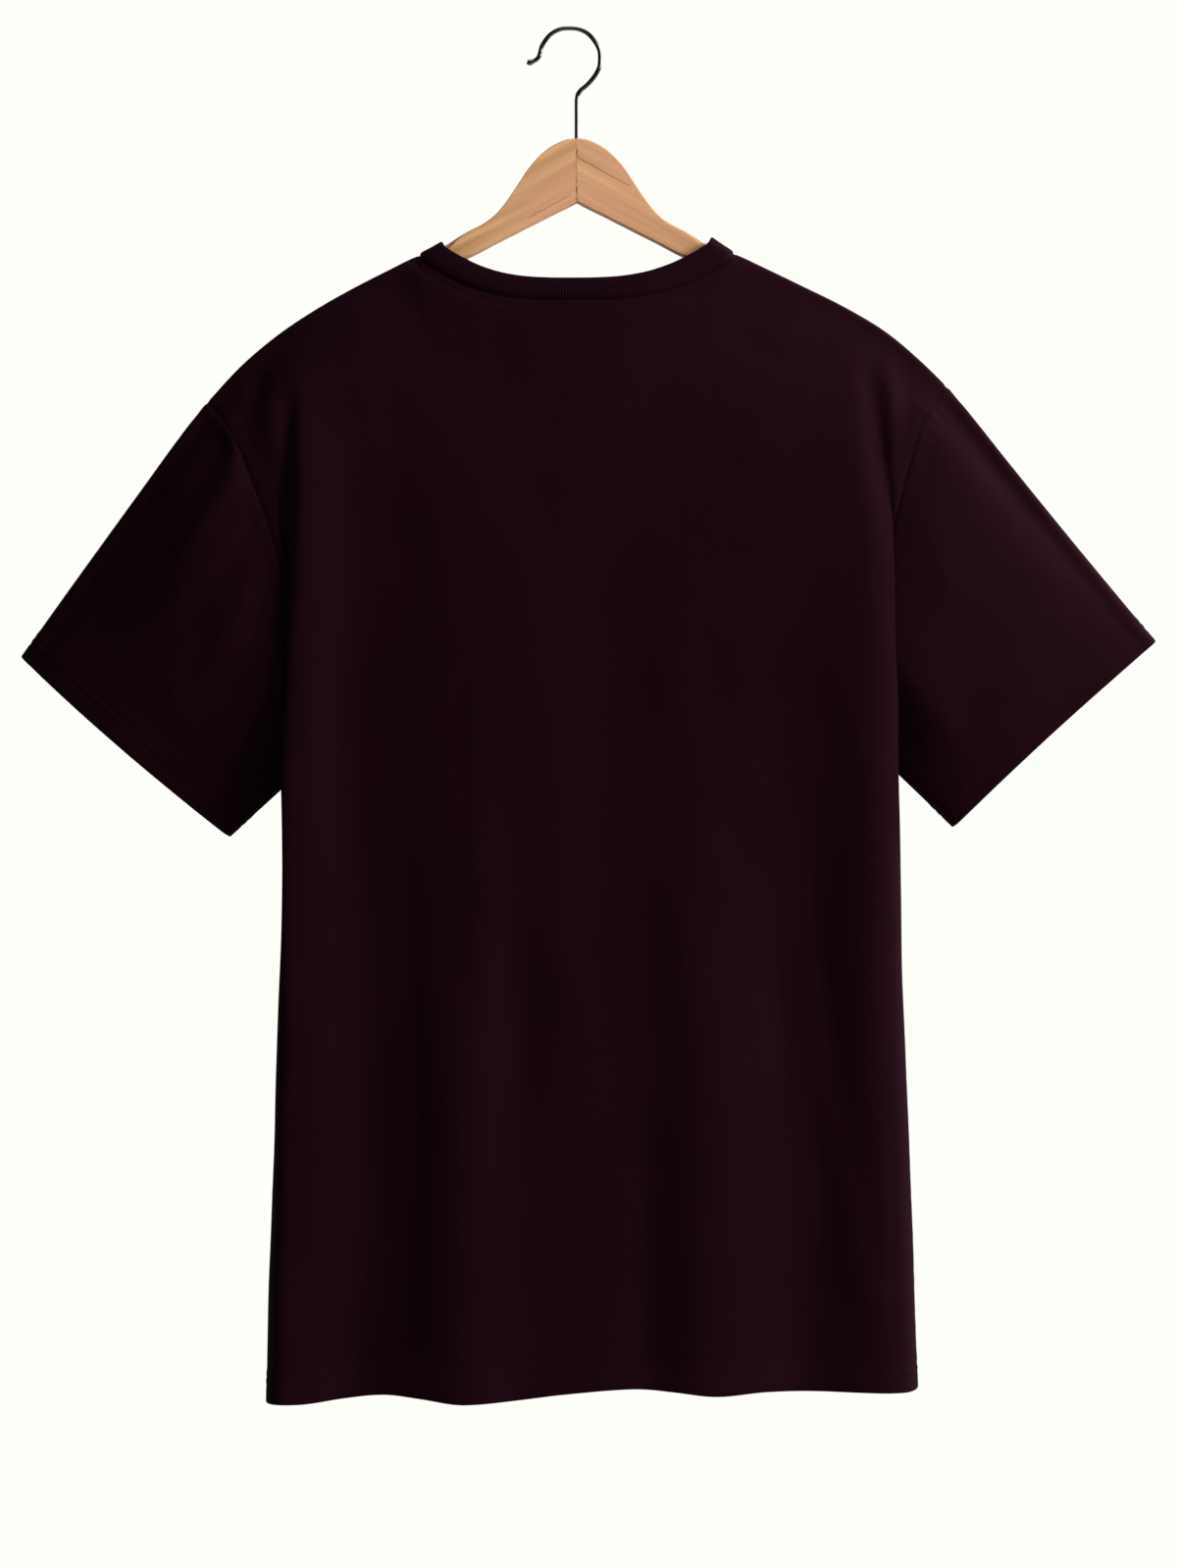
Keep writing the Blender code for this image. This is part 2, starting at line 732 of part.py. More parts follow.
def main():
    for old in list(bpy.data.objects):
        bpy.data.objects.remove(old, do_unlink=True)
    group = bpy.data.collections.new(COLLECTION)
    cutters = bpy.data.collections.new("cutters")
    for collection in (group, cutters):
        bpy.context.scene.collection.children.link(collection)
    jersey = material("jersey", (0.012, 0.004, 0.006), 0.9)
    rib = material("rib", (0.011, 0.004, 0.006), 0.9)
    wood = material("wood", (0.62, 0.36, 0.2), 0.5)
    black = material("hook", (0.01, 0.01, 0.012), 0.35)
    pieces = [
        (Shell("back_panel", panel_grid(BACK), JERSEY, False, False), jersey),
        (Shell("front_panel", panel_grid(FRONT), JERSEY, False, True), jersey),
        (Shell("left_sleeve", sleeve_grid(LEFT), JERSEY, True, False), jersey),
        (Shell("right_sleeve", sleeve_grid(RIGHT), JERSEY, True, True), jersey),
        (Shell("neck_rib", rib_grid(), RIB, True, True), rib),
    ]
    meeting = {}
    for shell, _ in pieces:
        shell.report(meeting)
    for shell, look in pieces:
        shell.join(meeting)
        add_mesh(shell.name, *shell.build(), look, group)
    drill = add_drill(cutters)
    add_arm("hanger_arm_left", LEFT, drill, wood, group)
    add_arm("hanger_arm_right", RIGHT, drill, wood, group)
    add_hook(black, group)


main()
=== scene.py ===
"""A crew neck t-shirt on a wooden hanger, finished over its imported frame.

Shapes are worked out in millimetres, with x measured from the hanger's middle, and
become metres in the row frame when a mesh is written. +X is the wearer's left, and the
shirt's back faces +Y.
"""

import logging
import math
from collections.abc import Iterator
from dataclasses import dataclass, field
from enum import Enum

import bpy
import numpy as np
from mathutils import Matrix


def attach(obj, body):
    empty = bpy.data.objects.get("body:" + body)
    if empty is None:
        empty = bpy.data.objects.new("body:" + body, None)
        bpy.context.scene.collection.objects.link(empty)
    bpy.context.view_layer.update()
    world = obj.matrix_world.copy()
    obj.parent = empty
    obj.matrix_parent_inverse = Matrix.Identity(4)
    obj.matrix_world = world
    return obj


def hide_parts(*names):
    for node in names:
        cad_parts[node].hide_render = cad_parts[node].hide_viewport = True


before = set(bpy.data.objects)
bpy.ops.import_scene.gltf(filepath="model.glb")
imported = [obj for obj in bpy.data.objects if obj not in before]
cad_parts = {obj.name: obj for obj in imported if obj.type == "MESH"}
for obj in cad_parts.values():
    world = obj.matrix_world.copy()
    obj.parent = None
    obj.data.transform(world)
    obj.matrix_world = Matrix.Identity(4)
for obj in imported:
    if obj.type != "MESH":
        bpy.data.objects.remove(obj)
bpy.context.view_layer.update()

LOG = logging.getLogger("t_shirt")
MM = 0.001
HANGER_X = -4.8  # the hanger's middle, measured from the hook's
Columns = dict[str, np.ndarray]
Colour = tuple[float, float, float, float]

EDGE_COLUMN = 3  # a panel's columns run from 3 at its left side to -3 at its right one
FOLD_COLUMN = 2  # and its side folds lie at 2 and -2
NECK_COLUMN = 1.0001  # the neckline's ends are at 1 and -1
LAST_ROW = 32  # a panel's rows run from 0 at the seams to 32 at the hem
EDGE_TURNS = np.radians([40, 90, 140])  # where the points of a rounded free edge lie
CREASE_POINTS = 15  # along a crease's curve
CREASE_REACH = 2.5  # how many widths away a crease still counts
CREASE_FADE = 0.35  # the share of its run over which each end fades


class Side(Enum):
    """The wearer's side of a piece, by the sign of its x."""

    LEFT = 1
    RIGHT = -1


class Face(Enum):
    """The back or the front of the shirt, by the sign of its y."""

    BACK = 1
    FRONT = -1


def table(columns: str, *rows: tuple[float, ...]) -> Columns:
    """Gather the rows of a table.

    Args:
        columns: The columns' names, with spaces between them.
        rows: One tuple of numbers for each row.

    Returns:
        One array for each named column.
    """
    return dict(zip(columns.split(), np.array(rows, float).T))


def each(columns: Columns) -> Iterator[dict[str, float]]:
    """The rows of a table, one after another, as numbers by name."""
    return (dict(zip(columns, row)) for row in zip(*columns.values()))


def held(value: object) -> object:
    """Make a table the default of a dataclass field."""
    return field(default_factory=lambda: value)


def smooth(at: np.ndarray | float, xs: np.ndarray, ys: np.ndarray) -> np.ndarray:
    """Read a smooth curve that never overshoots its points.

    Args:
        at: Where to read the curve.
        xs: The places of its points, rising.
        ys: Its values there: numbers, points or whole rows of points.

    Returns:
        The values at the places asked for.
    """
    at, xs, ys = np.asarray(at, float), np.asarray(xs, float), np.asarray(ys, float)
    run = np.diff(xs)
    rise = np.diff(ys, axis=0) / run.reshape(-1, *[1] * (ys.ndim - 1))
    slope = np.concatenate([rise[:1], (rise[1:] + rise[:-1]) / 2, rise[-1:]])
    low = np.minimum(abs(rise[1:]), abs(rise[:-1])) * 3
    same = rise[1:] * rise[:-1] > 0
    slope[1:-1] = np.where(same, np.clip(slope[1:-1], -low, low), 0)
    i = np.clip(np.searchsorted(xs, at) - 1, 0, len(run) - 1)
    t = (at - xs[i]) / run[i]
    width = run[i]
    if ys.ndim > 1:
        t = t.reshape(t.shape + (1,) * (ys.ndim - 1))
        width = width.reshape(width.shape + (1,) * (ys.ndim - 1))
    ease = t * t * (3 - 2 * t)
    first, last = t * (1 - t) ** 2 * width, t * t * (t - 1) * width
    return ys[i] + (ys[i + 1] - ys[i]) * ease + slope[i] * first + slope[i + 1] * last


def step(x: np.ndarray | float) -> np.ndarray:
    """Rise evenly from 0 at 0 to 1 at 1."""
    x = np.clip(x, 0, 1)
    return x * x * (3 - 2 * x)


def bump(d: np.ndarray, width: float) -> np.ndarray:
    """A rounded ridge of height 1 at distance 0."""
    return np.exp(-((d / width) ** 2))


def unit(vectors: np.ndarray) -> np.ndarray:
    """Vectors brought to length 1."""
    return vectors / np.maximum(np.linalg.norm(vectors, axis=-1, keepdims=True), 1e-12)


def between(at: np.ndarray | float, places: np.ndarray, values: np.ndarray) -> np.ndarray:
    """Points or directions at some places on a line, read from its own ones."""
    return np.stack([np.interp(at, places, values[..., q]) for q in range(3)], axis=-1)


def lengths(points: np.ndarray, axis: int = 0) -> np.ndarray:
    """Measure along a line of points, or along the lines of a grid.

    Args:
        points: The points.
        axis: 0 to measure down a grid's columns, 1 to measure along its rows.

    Returns:
        The distance of each point from its line's first one.
    """
    steps = np.linalg.norm(np.diff(points, axis=axis), axis=-1)
    start = np.zeros_like(np.take(steps, [0], axis=axis))
    return np.concatenate([start, np.cumsum(steps, axis=axis)], axis=axis)


def grid_faces(
    rows: int, columns: int, spans: int, runs: int
) -> tuple[list[tuple[np.ndarray, np.ndarray]], np.ndarray]:
    """Join the points of a grid with four-sided faces.

    Args:
        rows: How many rows of points it has.
        columns: How many points a row has.
        spans: How many steps from row to row to join: as many as rows closes it.
        runs: How many steps along a row to join: as many as columns closes it.

    Returns:
        The row and the column of each corner of the faces, and the faces.
    """
    i, j = np.meshgrid(np.arange(spans), np.arange(runs), indexing="ij")
    corners = [(i, j), ((i + 1) % rows, j), ((i + 1) % rows, j + 1), (i, j + 1)]
    faces = [a * columns + b % columns for a, b in corners]
    return corners, np.stack(faces, axis=-1).reshape(-1, 4)


def tube_faces(count: int, size: int) -> tuple[np.ndarray, list[list[int]]]:
    """Join rings of points to a tube.

    Args:
        count: How many rings it has.
        size: How many points a ring has.

    Returns:
        Its four-sided faces, and the faces that close its two ends.
    """
    _, faces = grid_faces(count, size, count - 1, size)
    ends = [list(range(size))[::-1], [(count - 1) * size + q for q in range(size)]]
    return faces[:, [0, 3, 2, 1]], ends


# The tables are in millimetres, from the hanger's middle. These are the shoulder seams,
# from the neck to the armhole.
SHOULDERS = {
    Side.LEFT: table(
        "x z",
        (102.4, -147.0),
        (140.0, -165.8),
        (171.5, -183.6),
        (197.0, -200.9),
        (219.5, -220.2),
        (241.0, -243.4),
    ),
    Side.RIGHT: table(
        "x z",
        (102.4, -145.9),
        (142.0, -164.9),
        (180.5, -184.2),
        (203.0, -198.3),
        (225.0, -217.0),
        (241.0, -232.8),
    ),
}

# The neckline's seam and the rib's free edge, from a shoulder to the middle.
NECK_SEAMS = {
    Face.BACK: table(
        "x y z",
        (102.4, 0.0, -146.4),
        (101.2, 6.2, -148.2),
        (98.6, 8.6, -151.6),
        (92.5, 10.2, -155.8),
        (83.0, 12.6, -161.4),
        (71.0, 15.0, -167.2),
        (56.0, 17.3, -172.5),
        (38.0, 19.0, -176.0),
        (19.0, 19.8, -177.4),
        (0.0, 20.0, -177.6),
    ),
    Face.FRONT: table(
        "x y z",
        (102.4, 0.0, -146.4),
        (101.6, 6.2, -148.4),
        (100.4, 9.0, -154.5),
        (96.5, 12.0, -171.0),
        (88.5, 16.0, -191.0),
        (76.0, 20.0, -210.0),
        (58.5, 24.0, -226.0),
        (39.0, 26.5, -236.0),
        (19.5, 28.0, -240.5),
        (0.0, 28.5, -241.5),
    ),
}
RIB_EDGES = {
    Face.BACK: table(
        "x y z",
        (87.2, 0.0, -138.0),
        (86.4, 6.4, -139.8),
        (84.4, 8.8, -142.0),
        (78.5, 10.2, -145.8),
        (70.0, 12.0, -150.4),
        (60.0, 14.0, -155.0),
        (47.0, 15.8, -159.2),
        (32.0, 17.2, -161.9),
        (16.0, 18.0, -163.0),
        (0.0, 18.2, -163.2),
    ),
    Face.FRONT: table(
        "x y z",
        (87.2, 0.0, -138.0),
        (86.6, 6.4, -140.0),
        (85.4, 9.0, -145.8),
        (81.5, 11.0, -161.5),
        (74.0, 14.0, -178.5),
        (63.0, 17.5, -194.5),
        (48.5, 21.0, -208.5),
        (32.5, 23.5, -218.0),
        (16.2, 25.0, -223.0),
        (0.0, 25.5, -224.5),
    ),
}

# How the cloth leaves the neckline: its first two rows, away from the rib, down and out,
# by how far along the neckline's table they are.
LEAVE = table(
    "near away_1 down_1 out_1 away_2 down_2 out_2",
    (0, 4.5, 0.9, 6.3, 9.0, 7.0, 8.4),
    (1, 4.5, 2.5, 0.9, 6.5, 8.5, 1.7),
    (2, 4.5, 2.5, 0.6, 6.5, 7.0, 1.5),
    (3, 5.5, 0.5, 0.6, 11.0, 2.0, 1.6),
    (9, 6.0, 0.0, 0.5, 12.0, 0.0, 1.5),
)

# The heights of the level sections at both sides, and how far out their middles lie.
LEVELS = table(
    "row left_z right_z back front",
    (6, -283, -272, 32, 38),
    (8, -335, -330, 36, 40),
    (11, -405, -397, 38, 40),
    (14, -458, -448.5, 38, 39),
    (16, -500, -495, 38, 38),
    (19, -560, -558, 38, 37),
    (22, -640, -640, 37, 36),
    (26, -740, -740, 36, 35),
    (32, -889.5, -881.5, 35, 34),
)

# The side fold of each section: its crown, how far past it the cloth still runs on, and
# where it turns to the seam. lift raises the fold's outer side.
SIDES = {
    Side.LEFT: table(
        "row crown_x crown_y reach turn_x turn_y seam_x seam_y lift",
        (6, 174, 40, 18, 186, 33, 215, 30, 0),
        (8, 173, 43, 20, 183, 33, 196, 33, 0),
        (11, 173, 45, 27, 176, 34, 178, 32, 0),
        (14, 174.5, 45, 41, 153, 24, 152, 0, 1),
        (16, 174.5, 45, 43, 161, 24, 160, 0, 2),
        (19, 175.5, 44, 35, 175, 26, 174, 0, 2.6),
        (22, 177.5, 44, 27, 189, 24, 188, 0, 2.6),
        (26, 178.5, 41, 25, 196, 24, 195, 0, 2.6),
        (32, 180.5, 41, 25, 200, 26, 199, 0, 2.4),
    ),
    Side.RIGHT: table(
        "row crown_x crown_y reach turn_x turn_y seam_x seam_y lift",
        (6, 177, 38, 18, 190, 28, 219, 26, 0),
        (8, 185, 44, 20, 205, 30, 204, 31, -1),
        (11, 189, 47, 22, 208, 18, 193, 31, -1),
        (14, 189.4, 46, 29, 211.2, 0, 172, 0, -1),
        (16, 190.4, 45, 20, 220, 14, 180, 0, -1),
        (19, 191.4, 43, 17, 221.4, 20, 192, 0, -1),
        (22, 192.5, 40, 10, 223, 28, 204, 0, -1),
        (26, 194.5, 39, 9, 224, 31, 212, 0, -1),
        (32, 198.5, 40, 10, 226.5, 33.5, 219, 0, -1),
    ),
}

# The long hanging folds: where they start and are full, how far they stand out, and
# their width to each side.
FOLDS = {
    Face.BACK: table(
        "top_x hem_x start_z full_z out left_width right_width",
        (142, 142, -220, -330, -9, 40, 44),
        (132, 125, -400, -720, -8.5, 22, 26),
        (98, 89, -400, -720, 8, 20, 26),
        (90, 86, -520, -760, 2.8, 12, 12),
        (84, 70, -400, -860, 9, 28, 42),
        (44, 44, -540, -680, -4, 28, 30),
        (30, 30, -220, -420, 3, 50, 50),
        (-80, -80, -200, -320, 2.5, 36, 40),
        (-46, -48, -560, -780, -2.5, 16, 18),
        (-86, -94, -460, -780, 15.5, 28, 28),
        (-138, -134, -260, -640, -9, 28, 48),
        (-132, -134, -420, -600, -7, 20, 32),
    ),
    Face.FRONT: table(
        "top_x hem_x start_z full_z out left_width right_width",
        (128, 134, -420, -880, -9, 30, 34),
        (84, 88, -400, -880, 12, 36, 48),
        (22, 16, -380, -880, -12, 44, 40),
        (-46, -50, -360, -880, 11, 46, 44),
        (-112, -118, -420, -880, -10, 40, 32),
    ),
}

# The ends of the cuffs, and how far a cuff and a sleeve's top bow out.
SLEEVES = {
    Side.LEFT: dict(top_x=361.4, top_z=-408.6, low_x=226.2, low_z=-525.4, bow=1.8, crown=0.8),
    Side.RIGHT: dict(top_x=376.8, top_z=-398.6, low_x=245.2, low_z=-519.0, bow=-2.2, crown=-0.6),
}

HEM_WAVE = table(
    "x z",
    (-212, -1.0),
    (-180, 0.0),
    (-124, 1.1),
    (-92, -0.7),
    (-64, 2.0),
    (-36, 4.0),
    (8, 1.2),
    (40, -2.2),
    (72, -3.8),
    (100, -0.4),
    (124, 2.0),
    (150, 0.0),
    (180, -2.5),
    (212, -1.2),
)

# The small folds: three points that each runs through, how far it stands out, and its
# width to the left and to the right of its run.
CREASE_COLUMNS = "x1 z1 x2 z2 x3 z3 out left right"
BACK_CREASES = table(
    CREASE_COLUMNS,
    (126, -166, 132, -215, 136, -272, 3.2, 40, 44),
    (199, -220, 212, -246, 223, -270, -3.0, 6, 8),
    (194, -232, 203, -262, 208, -296, 1.8, 7, 7),
    (156, -215, 157, -330, 160, -470, 0.8, 13, 12),
    (148, -540, 147, -700, 146, -900, 2.6, 20, 18),
    (187, -420, 189, -640, 191, -900, -1.7, 8, 16),
    (36, -490, 30, -590, 22, -710, -1.6, 22, 24),
    (-112, -182, -140, -200, -168, -212, 0.5, 6, 6),
    (-104, -196, -128, -216, -150, -232, -0.5, 7, 6),
    (-96, -206, -112, -232, -124, -262, 0.45, 8, 7),
    (-60, -196, -78, -222, -92, -252, -0.4, 9, 8),
    (26, -310, 2, -290, -16, -262, 0.5, 6, 6),
    (40, -330, 20, -312, 4, -300, -0.4, 8, 7),
    (66, -380, 62, -520, 60, -700, 0.8, 9, 11),
    (44, -440, 40, -600, 36, -760, -0.7, 10, 10),
    (20, -360, 14, -520, 10, -700, 0.7, 12, 12),
    (-14, -330, -16, -480, -20, -640, -0.8, 13, 12),
    (-40, -560, -38, -700, -36, -850, 0.6, 10, 10),
    (-152, -536, -172, -690, -210, -860, -0.7, 5, 9),
    (-142, -540, -160, -700, -196, -868, 0.6, 9, 6),
    (-128, -560, -134, -700, -142, -860, -0.6, 8, 8),
    (166, -600, 160, -720, 148, -880, 0.8, 12, 12),
    (186, -640, 182, -760, 168, -890, -0.7, 9, 9),
    (110, -500, 106, -640, 100, -800, -0.8, 7, 8),
    (60, -790, 40, -850, 22, -900, 0.6, 14, 12),
    (-20, -800, -24, -850, -20, -900, 0.5, 12, 12),
)
BACK_SIDE_CREASES = table(
    CREASE_COLUMNS,
    (-187, -206, -196, -282, -211, -372, -4.2, 6, 7),
    (-199, -206, -207, -256, -214, -312, 4.0, 7, 7),
    (184, -232, 187, -300, 190, -420, -4.0, 6, 5),
)
FRONT_CREASES = table(
    CREASE_COLUMNS,
    (178, -222, 184, -310, 188, -440, 1.7, 9, 7),
    (190, -226, 196, -285, 200, -332, -1.7, 7, 8),
    (-182, -228, -190, -320, -196, -450, 1.7, 8, 8),
    (-192, -212, -196, -268, -204, -340, -2.0, 7, 7),
    (162, -240, 164, -330, 166, -460, -1.0, 14, 10),
    (-166, -246, -170, -340, -176, -470, -1.1, 10, 14),
    (112, -186, 104, -228, 84, -272, 0.7, 8, 8),
    (126, -196, 118, -244, 102, -290, -0.6, 9, 8),
    (-110, -186, -102, -230, -80, -276, -0.7, 8, 8),
    (-128, -198, -120, -250, -98, -300, 0.6, 9, 8),
    (60, -262, 20, -284, -24, -280, 0.6, 10, 9),
    (48, -292, 12, -310, -34, -304, -0.5, 12, 10),
    (140, -520, 156, -670, 172, -840, -1.5, 10, 14),
    (126, -540, 138, -680, 152, -860, 0.9, 12, 10),
    (-150, -500, -160, -640, -164, -800, 0.9, 14, 14),
    (-60, -470, -50, -620, -40, -790, 0.7, 14, 12),
    (6, -440, 0, -590, -8, -740, -0.7, 14, 14),
    (48, -520, 52, -640, 56, -760, 0.6, 12, 14),
    (-96, -760, -82, -830, -60, -900, 0.7, 14, 12),
    (36, -790, 30, -840, 24, -900, 0.6, 12, 12),
)
SLEEVE_CREASES = {
    Side.LEFT: table(
        CREASE_COLUMNS,
        (210, -242, 233, -280, 290, -370, -3.2, 9, 9),
        (202, -264, 228, -306, 276, -378, 2.4, 9, 10),
        (206, -300, 240, -350, 288, -398, 0.9, 6, 7),
        (204, -316, 232, -362, 276, -412, -0.8, 6, 7),
        (202, -330, 220, -384, 256, -440, 1.0, 7, 8),
        (198, -350, 212, -412, 232, -462, -0.8, 8, 8),
        (250, -468, 228, -458, 206, -448, 0.6, 7, 7),
        (262, -440, 236, -432, 212, -418, -0.5, 8, 8),
        (300, -396, 270, -420, 244, -470, 0.6, 10, 12),
    ),
    Side.RIGHT: table(
        CREASE_COLUMNS,
        (-246, -250, -290, -310, -340, -372, -1.0, 8, 9),
        (-214, -300, -232, -340, -246, -392, 0.8, 10, 10),
        (-204, -386, -208, -438, -218, -492, -1.8, 11, 9),
        (-232, -394, -234, -436, -246, -480, 1.0, 12, 11),
        (-258, -366, -284, -352, -312, -352, 0.6, 6, 6),
        (-262, -384, -290, -372, -322, -366, -0.5, 6, 6),
        (-284, -398, -306, -386, -330, -384, 0.6, 6, 6),
        (-300, -420, -316, -408, -338, -402, -0.5, 6, 6),
        (-226, -350, -246, -362, -262, -358, 0.5, 6, 6),
        (-222, -260, -226, -286, -222, -306, -0.8, 6, 7),
    ),
}
SLEEVE_FRONT_CREASES = table(
    CREASE_COLUMNS,
    (212, -228, 250, -282, 306, -352, -1.6, 10, 10),
    (210, -268, 242, -326, 286, -382, 1.2, 10, 11),
    (204, -310, 226, -360, 262, -410, -1.0, 10, 11),
    (200, -352, 212, -410, 220, -470, 1.3, 11, 11),
    (206, -390, 218, -440, 232, -486, -1.7, 11, 11),
    (296, -392, 268, -412, 244, -456, 0.7, 9, 11),
)


@dataclass
class HungForm:
    """The surface in which the shirt hangs: sections worked out from its sizes."""

    shoulder: dict[Side, Columns] = held(SHOULDERS)
    neck_seam: dict[Face, Columns] = held(NECK_SEAMS)
    rib_edge: dict[Face, Columns] = held(RIB_EDGES)
    leave: Columns = held(LEAVE)
    levels: Columns = held(LEVELS)
    sides: dict[Side, Columns] = held(SIDES)
    folds: dict[Face, Columns] = held(FOLDS)
    sleeves: dict[Side, dict[str, float]] = held(SLEEVES)
    hem_wave: Columns = held(HEM_WAVE)
    hem_flare: float = 2.8
    hem_fade: float = 0.6
    front_wave: float = 0.6
    wave_rows: tuple[float, float] = (27.0, 5.0)
    flare_rows: tuple[float, float] = (31.1, 0.9)
    over_down: tuple[float, float] = (1.7, 8.0)
    over_out: tuple[float, float] = (6.0, 8.1)
    fold_x: float = 184.0
    neck_skew: float = 3.0
    rib_lift: dict[Side, float] = held({Side.LEFT: 0.2, Side.RIGHT: 2.2})
    neck_spread: float = 0.8
    front_crown: float = 0.92
    front_lift: float = 0.3
    crown_power: float = 2.4
    fold_pointed: float = 1.6
    fold_fade: tuple[float, float] = (0.88, 1.0)
    fold_kept: float = 0.7
    lift_at: tuple[float, float] = (2.2, 0.22)
    # The grid is evened out near these columns. Each line has a column, a width and a
    # share, and the others have a column, a width and the rows over which they begin.
    soft_lines: tuple[tuple[float, float, float], ...] = ((2.0, 0.16, 1.0), (1.12, 0.1, 0.6))
    soft_corner: tuple[float, float, float] = (1.02, 0.3, 2.5)
    soft_wide: tuple[float, float, float, float] = (1.05, 0.42, 0.7, 1.6)
    soft_turns: tuple[int, int, int] = (14, 60, 240)
    gape: float = 20.0
    swell: float = 0.14
    taper: float = 0.1
    sleeve_full: float = 0.54
    sleeve_low: float = 0.3
    underarm_swell: float = 0.3
    rib_bulge: float = 1.2
    rib_even: float = 0.17
    corner: float = 0.25
    underarm_row: int = 14

    def shoulder_points(self, side: Side, x: np.ndarray) -> tuple[np.ndarray, np.ndarray]:
        """Read the shoulder seam.

        Args:
            side: The shoulder.
            x: How far out to read it.

        Returns:
            The seam's points, and the directions square to it into the shirt.
        """
        seam = self.shoulder[side]
        z = smooth(x, seam["x"], seam["z"])
        fall = smooth(x + 1, seam["x"], seam["z"]) - smooth(x - 1, seam["x"], seam["z"])
        size = np.hypot(2.0, fall)
        flat = np.zeros_like(z)
        points = np.stack([side.value * x, flat, z], axis=-1)
        return points, np.stack([side.value * fall / size, flat, -2.0 / size], axis=-1)

    def neck_points(self, rib: bool, face: Face, column: np.ndarray) -> np.ndarray:
        """Read the neckline.

        Args:
            rib: Whether to read the rib's free edge, and not the seam.
            face: The back or the front.
            column: Columns from 1 at the left shoulder to -1 at the right one.

        Returns:
            The points.
        """
        curve = (self.rib_edge if rib else self.neck_seam)[face]
        inward = 1 - abs(column)
        rows = np.arange(len(curve["x"]))
        x, y, z = (smooth(inward * rows[-1], rows, curve[name]) for name in "xyz")
        low = self.neck_seam[Face.BACK]["z"][0]
        lifts = [
            self.shoulder[side]["z"][0] - low + (self.rib_lift[side] if rib else 0)
            for side in Side
        ]
        lift = np.where(column >= 0, *lifts)
        sign = np.where(column >= 0, 1, -1)
        x = sign * x + self.neck_skew * step(inward)
        return np.stack([x, face.value * y, z + lift * (1 - inward) ** 2], axis=-1)

    def seam_x(self, column: np.ndarray) -> np.ndarray:
        """How far out each column lies."""
        reach = abs(column)
        inner = self.shoulder[Side.LEFT]["x"][0]
        outer = self.shoulder[Side.LEFT]["x"][-1]
        return np.select(
            [reach <= 1, reach <= 2],
            [
                inner * reach**self.neck_spread,
                inner + (self.fold_x - inner) * (reach - 1),
            ],
            self.fold_x + (outer - self.fold_x) * (reach - 2),
        )

    def top_points(self, face: Face, column: np.ndarray) -> np.ndarray:
        """Work out where the columns start.

        Args:
            face: The back or the front.
            column: The columns.

        Returns:
            Three rows of points: on the seam, and the first two below it.
        """
        reach = abs(column)
        inner = np.clip(column, -1, 1)
        seam = self.neck_points(False, face, inner)
        away = unit(seam - self.neck_points(True, face, inner))
        near = (1 - abs(inner)) * (len(self.neck_seam[face]["x"]) - 1)
        neck = [np.zeros_like(seam)]
        for i in (1, 2):
            leave = {
                name: smooth(near, self.leave["near"], self.leave[f"{name}_{i}"])
                for name in ("away", "down", "out")
            }
            rest = np.stack([0 * near, face.value * leave["out"], -leave["down"]], axis=-1)
            neck.append(away * leave["away"][:, None] + rest)
        x = self.seam_x(np.sign(column) * np.maximum(reach, 1))
        sides = [self.shoulder_points(side, x) for side in Side]
        left = (column >= 0)[:, None]
        line, inward = (np.where(left, a, b) for a, b in zip(*sides))
        arm = [np.zeros_like(line)]
        for down, out in zip(self.over_down, self.over_out):
            arm.append(inward * down + np.array([0, face.value * out, 0]))
        share = step((reach - 1) / self.corner)[:, None]
        base = np.where((reach > 1)[:, None], line, seam)
        return np.array([base + a * (1 - share) + b * share for a, b in zip(neck, arm)])

    def fold_height(self, face: Face, x: np.ndarray, z: np.ndarray) -> np.ndarray:
        """Measure the hanging folds.

        Args:
            face: The back or the front.
            x: Places across.
            z: Heights.

        Returns:
            How far the folds stand out there.
        """
        total = np.zeros_like(x)
        for fold in each(self.folds[face]):
            grown = step((fold["start_z"] - z) / (fold["start_z"] - fold["full_z"]))
            centre = fold["top_x"] + (fold["hem_x"] - fold["top_x"]) * grown
            width = np.where(x > centre, fold["left_width"], fold["right_width"])
            shape = np.exp(-self.fold_pointed * ((x - centre) / width) ** 2)
            total += fold["out"] * grown * shape
        return total

    def level_points(self, face: Face, column: np.ndarray, level: int) -> np.ndarray:
        """Work out one level section of the body.

        Args:
            face: The back or the front.
            column: The columns.
            level: The section's place in the table of levels.

        Returns:
            One point for each column.
        """
        sign = np.where(column >= 0, 1, -1)
        row = {
            name: np.where(column >= 0, *(self.sides[side][name][level] for side in Side))
            for name in self.sides[Side.LEFT]
        }
        share = 0.5 + column / (2 * EDGE_COLUMN)
        z = self.levels["right_z"][level] * (1 - share) + self.levels["left_z"][level] * share
        depth = self.levels["back" if face is Face.BACK else "front"][level]
        crown = row["crown_y"] * (1 if face is Face.BACK else self.front_crown)
        at = np.minimum(self.seam_x(column) / self.fold_x, 1)
        x = at * row["crown_x"]
        y = depth + (crown - depth) * at**self.crown_power
        past = step((at - self.fold_fade[0]) / (self.fold_fade[1] - self.fold_fade[0]))
        fade = 1 - past * (1 - self.fold_kept)
        y = y + self.fold_height(face, sign * x, z) * fade
        crown = crown + self.fold_height(face, sign * row["crown_x"], z) * self.fold_kept
        t = np.clip(abs(column) - FOLD_COLUMN, 0, 1)
        a, b, c, d = (1 - t) ** 3, 3 * t * (1 - t) ** 2, 3 * t * t * (1 - t), t**3
        reach = row["crown_x"] + row["reach"]
        side_x = row["crown_x"] * a + reach * b + row["turn_x"] * c + row["seam_x"] * d
        side_y = crown * (a + b) + row["turn_y"] * c + row["seam_y"] * d
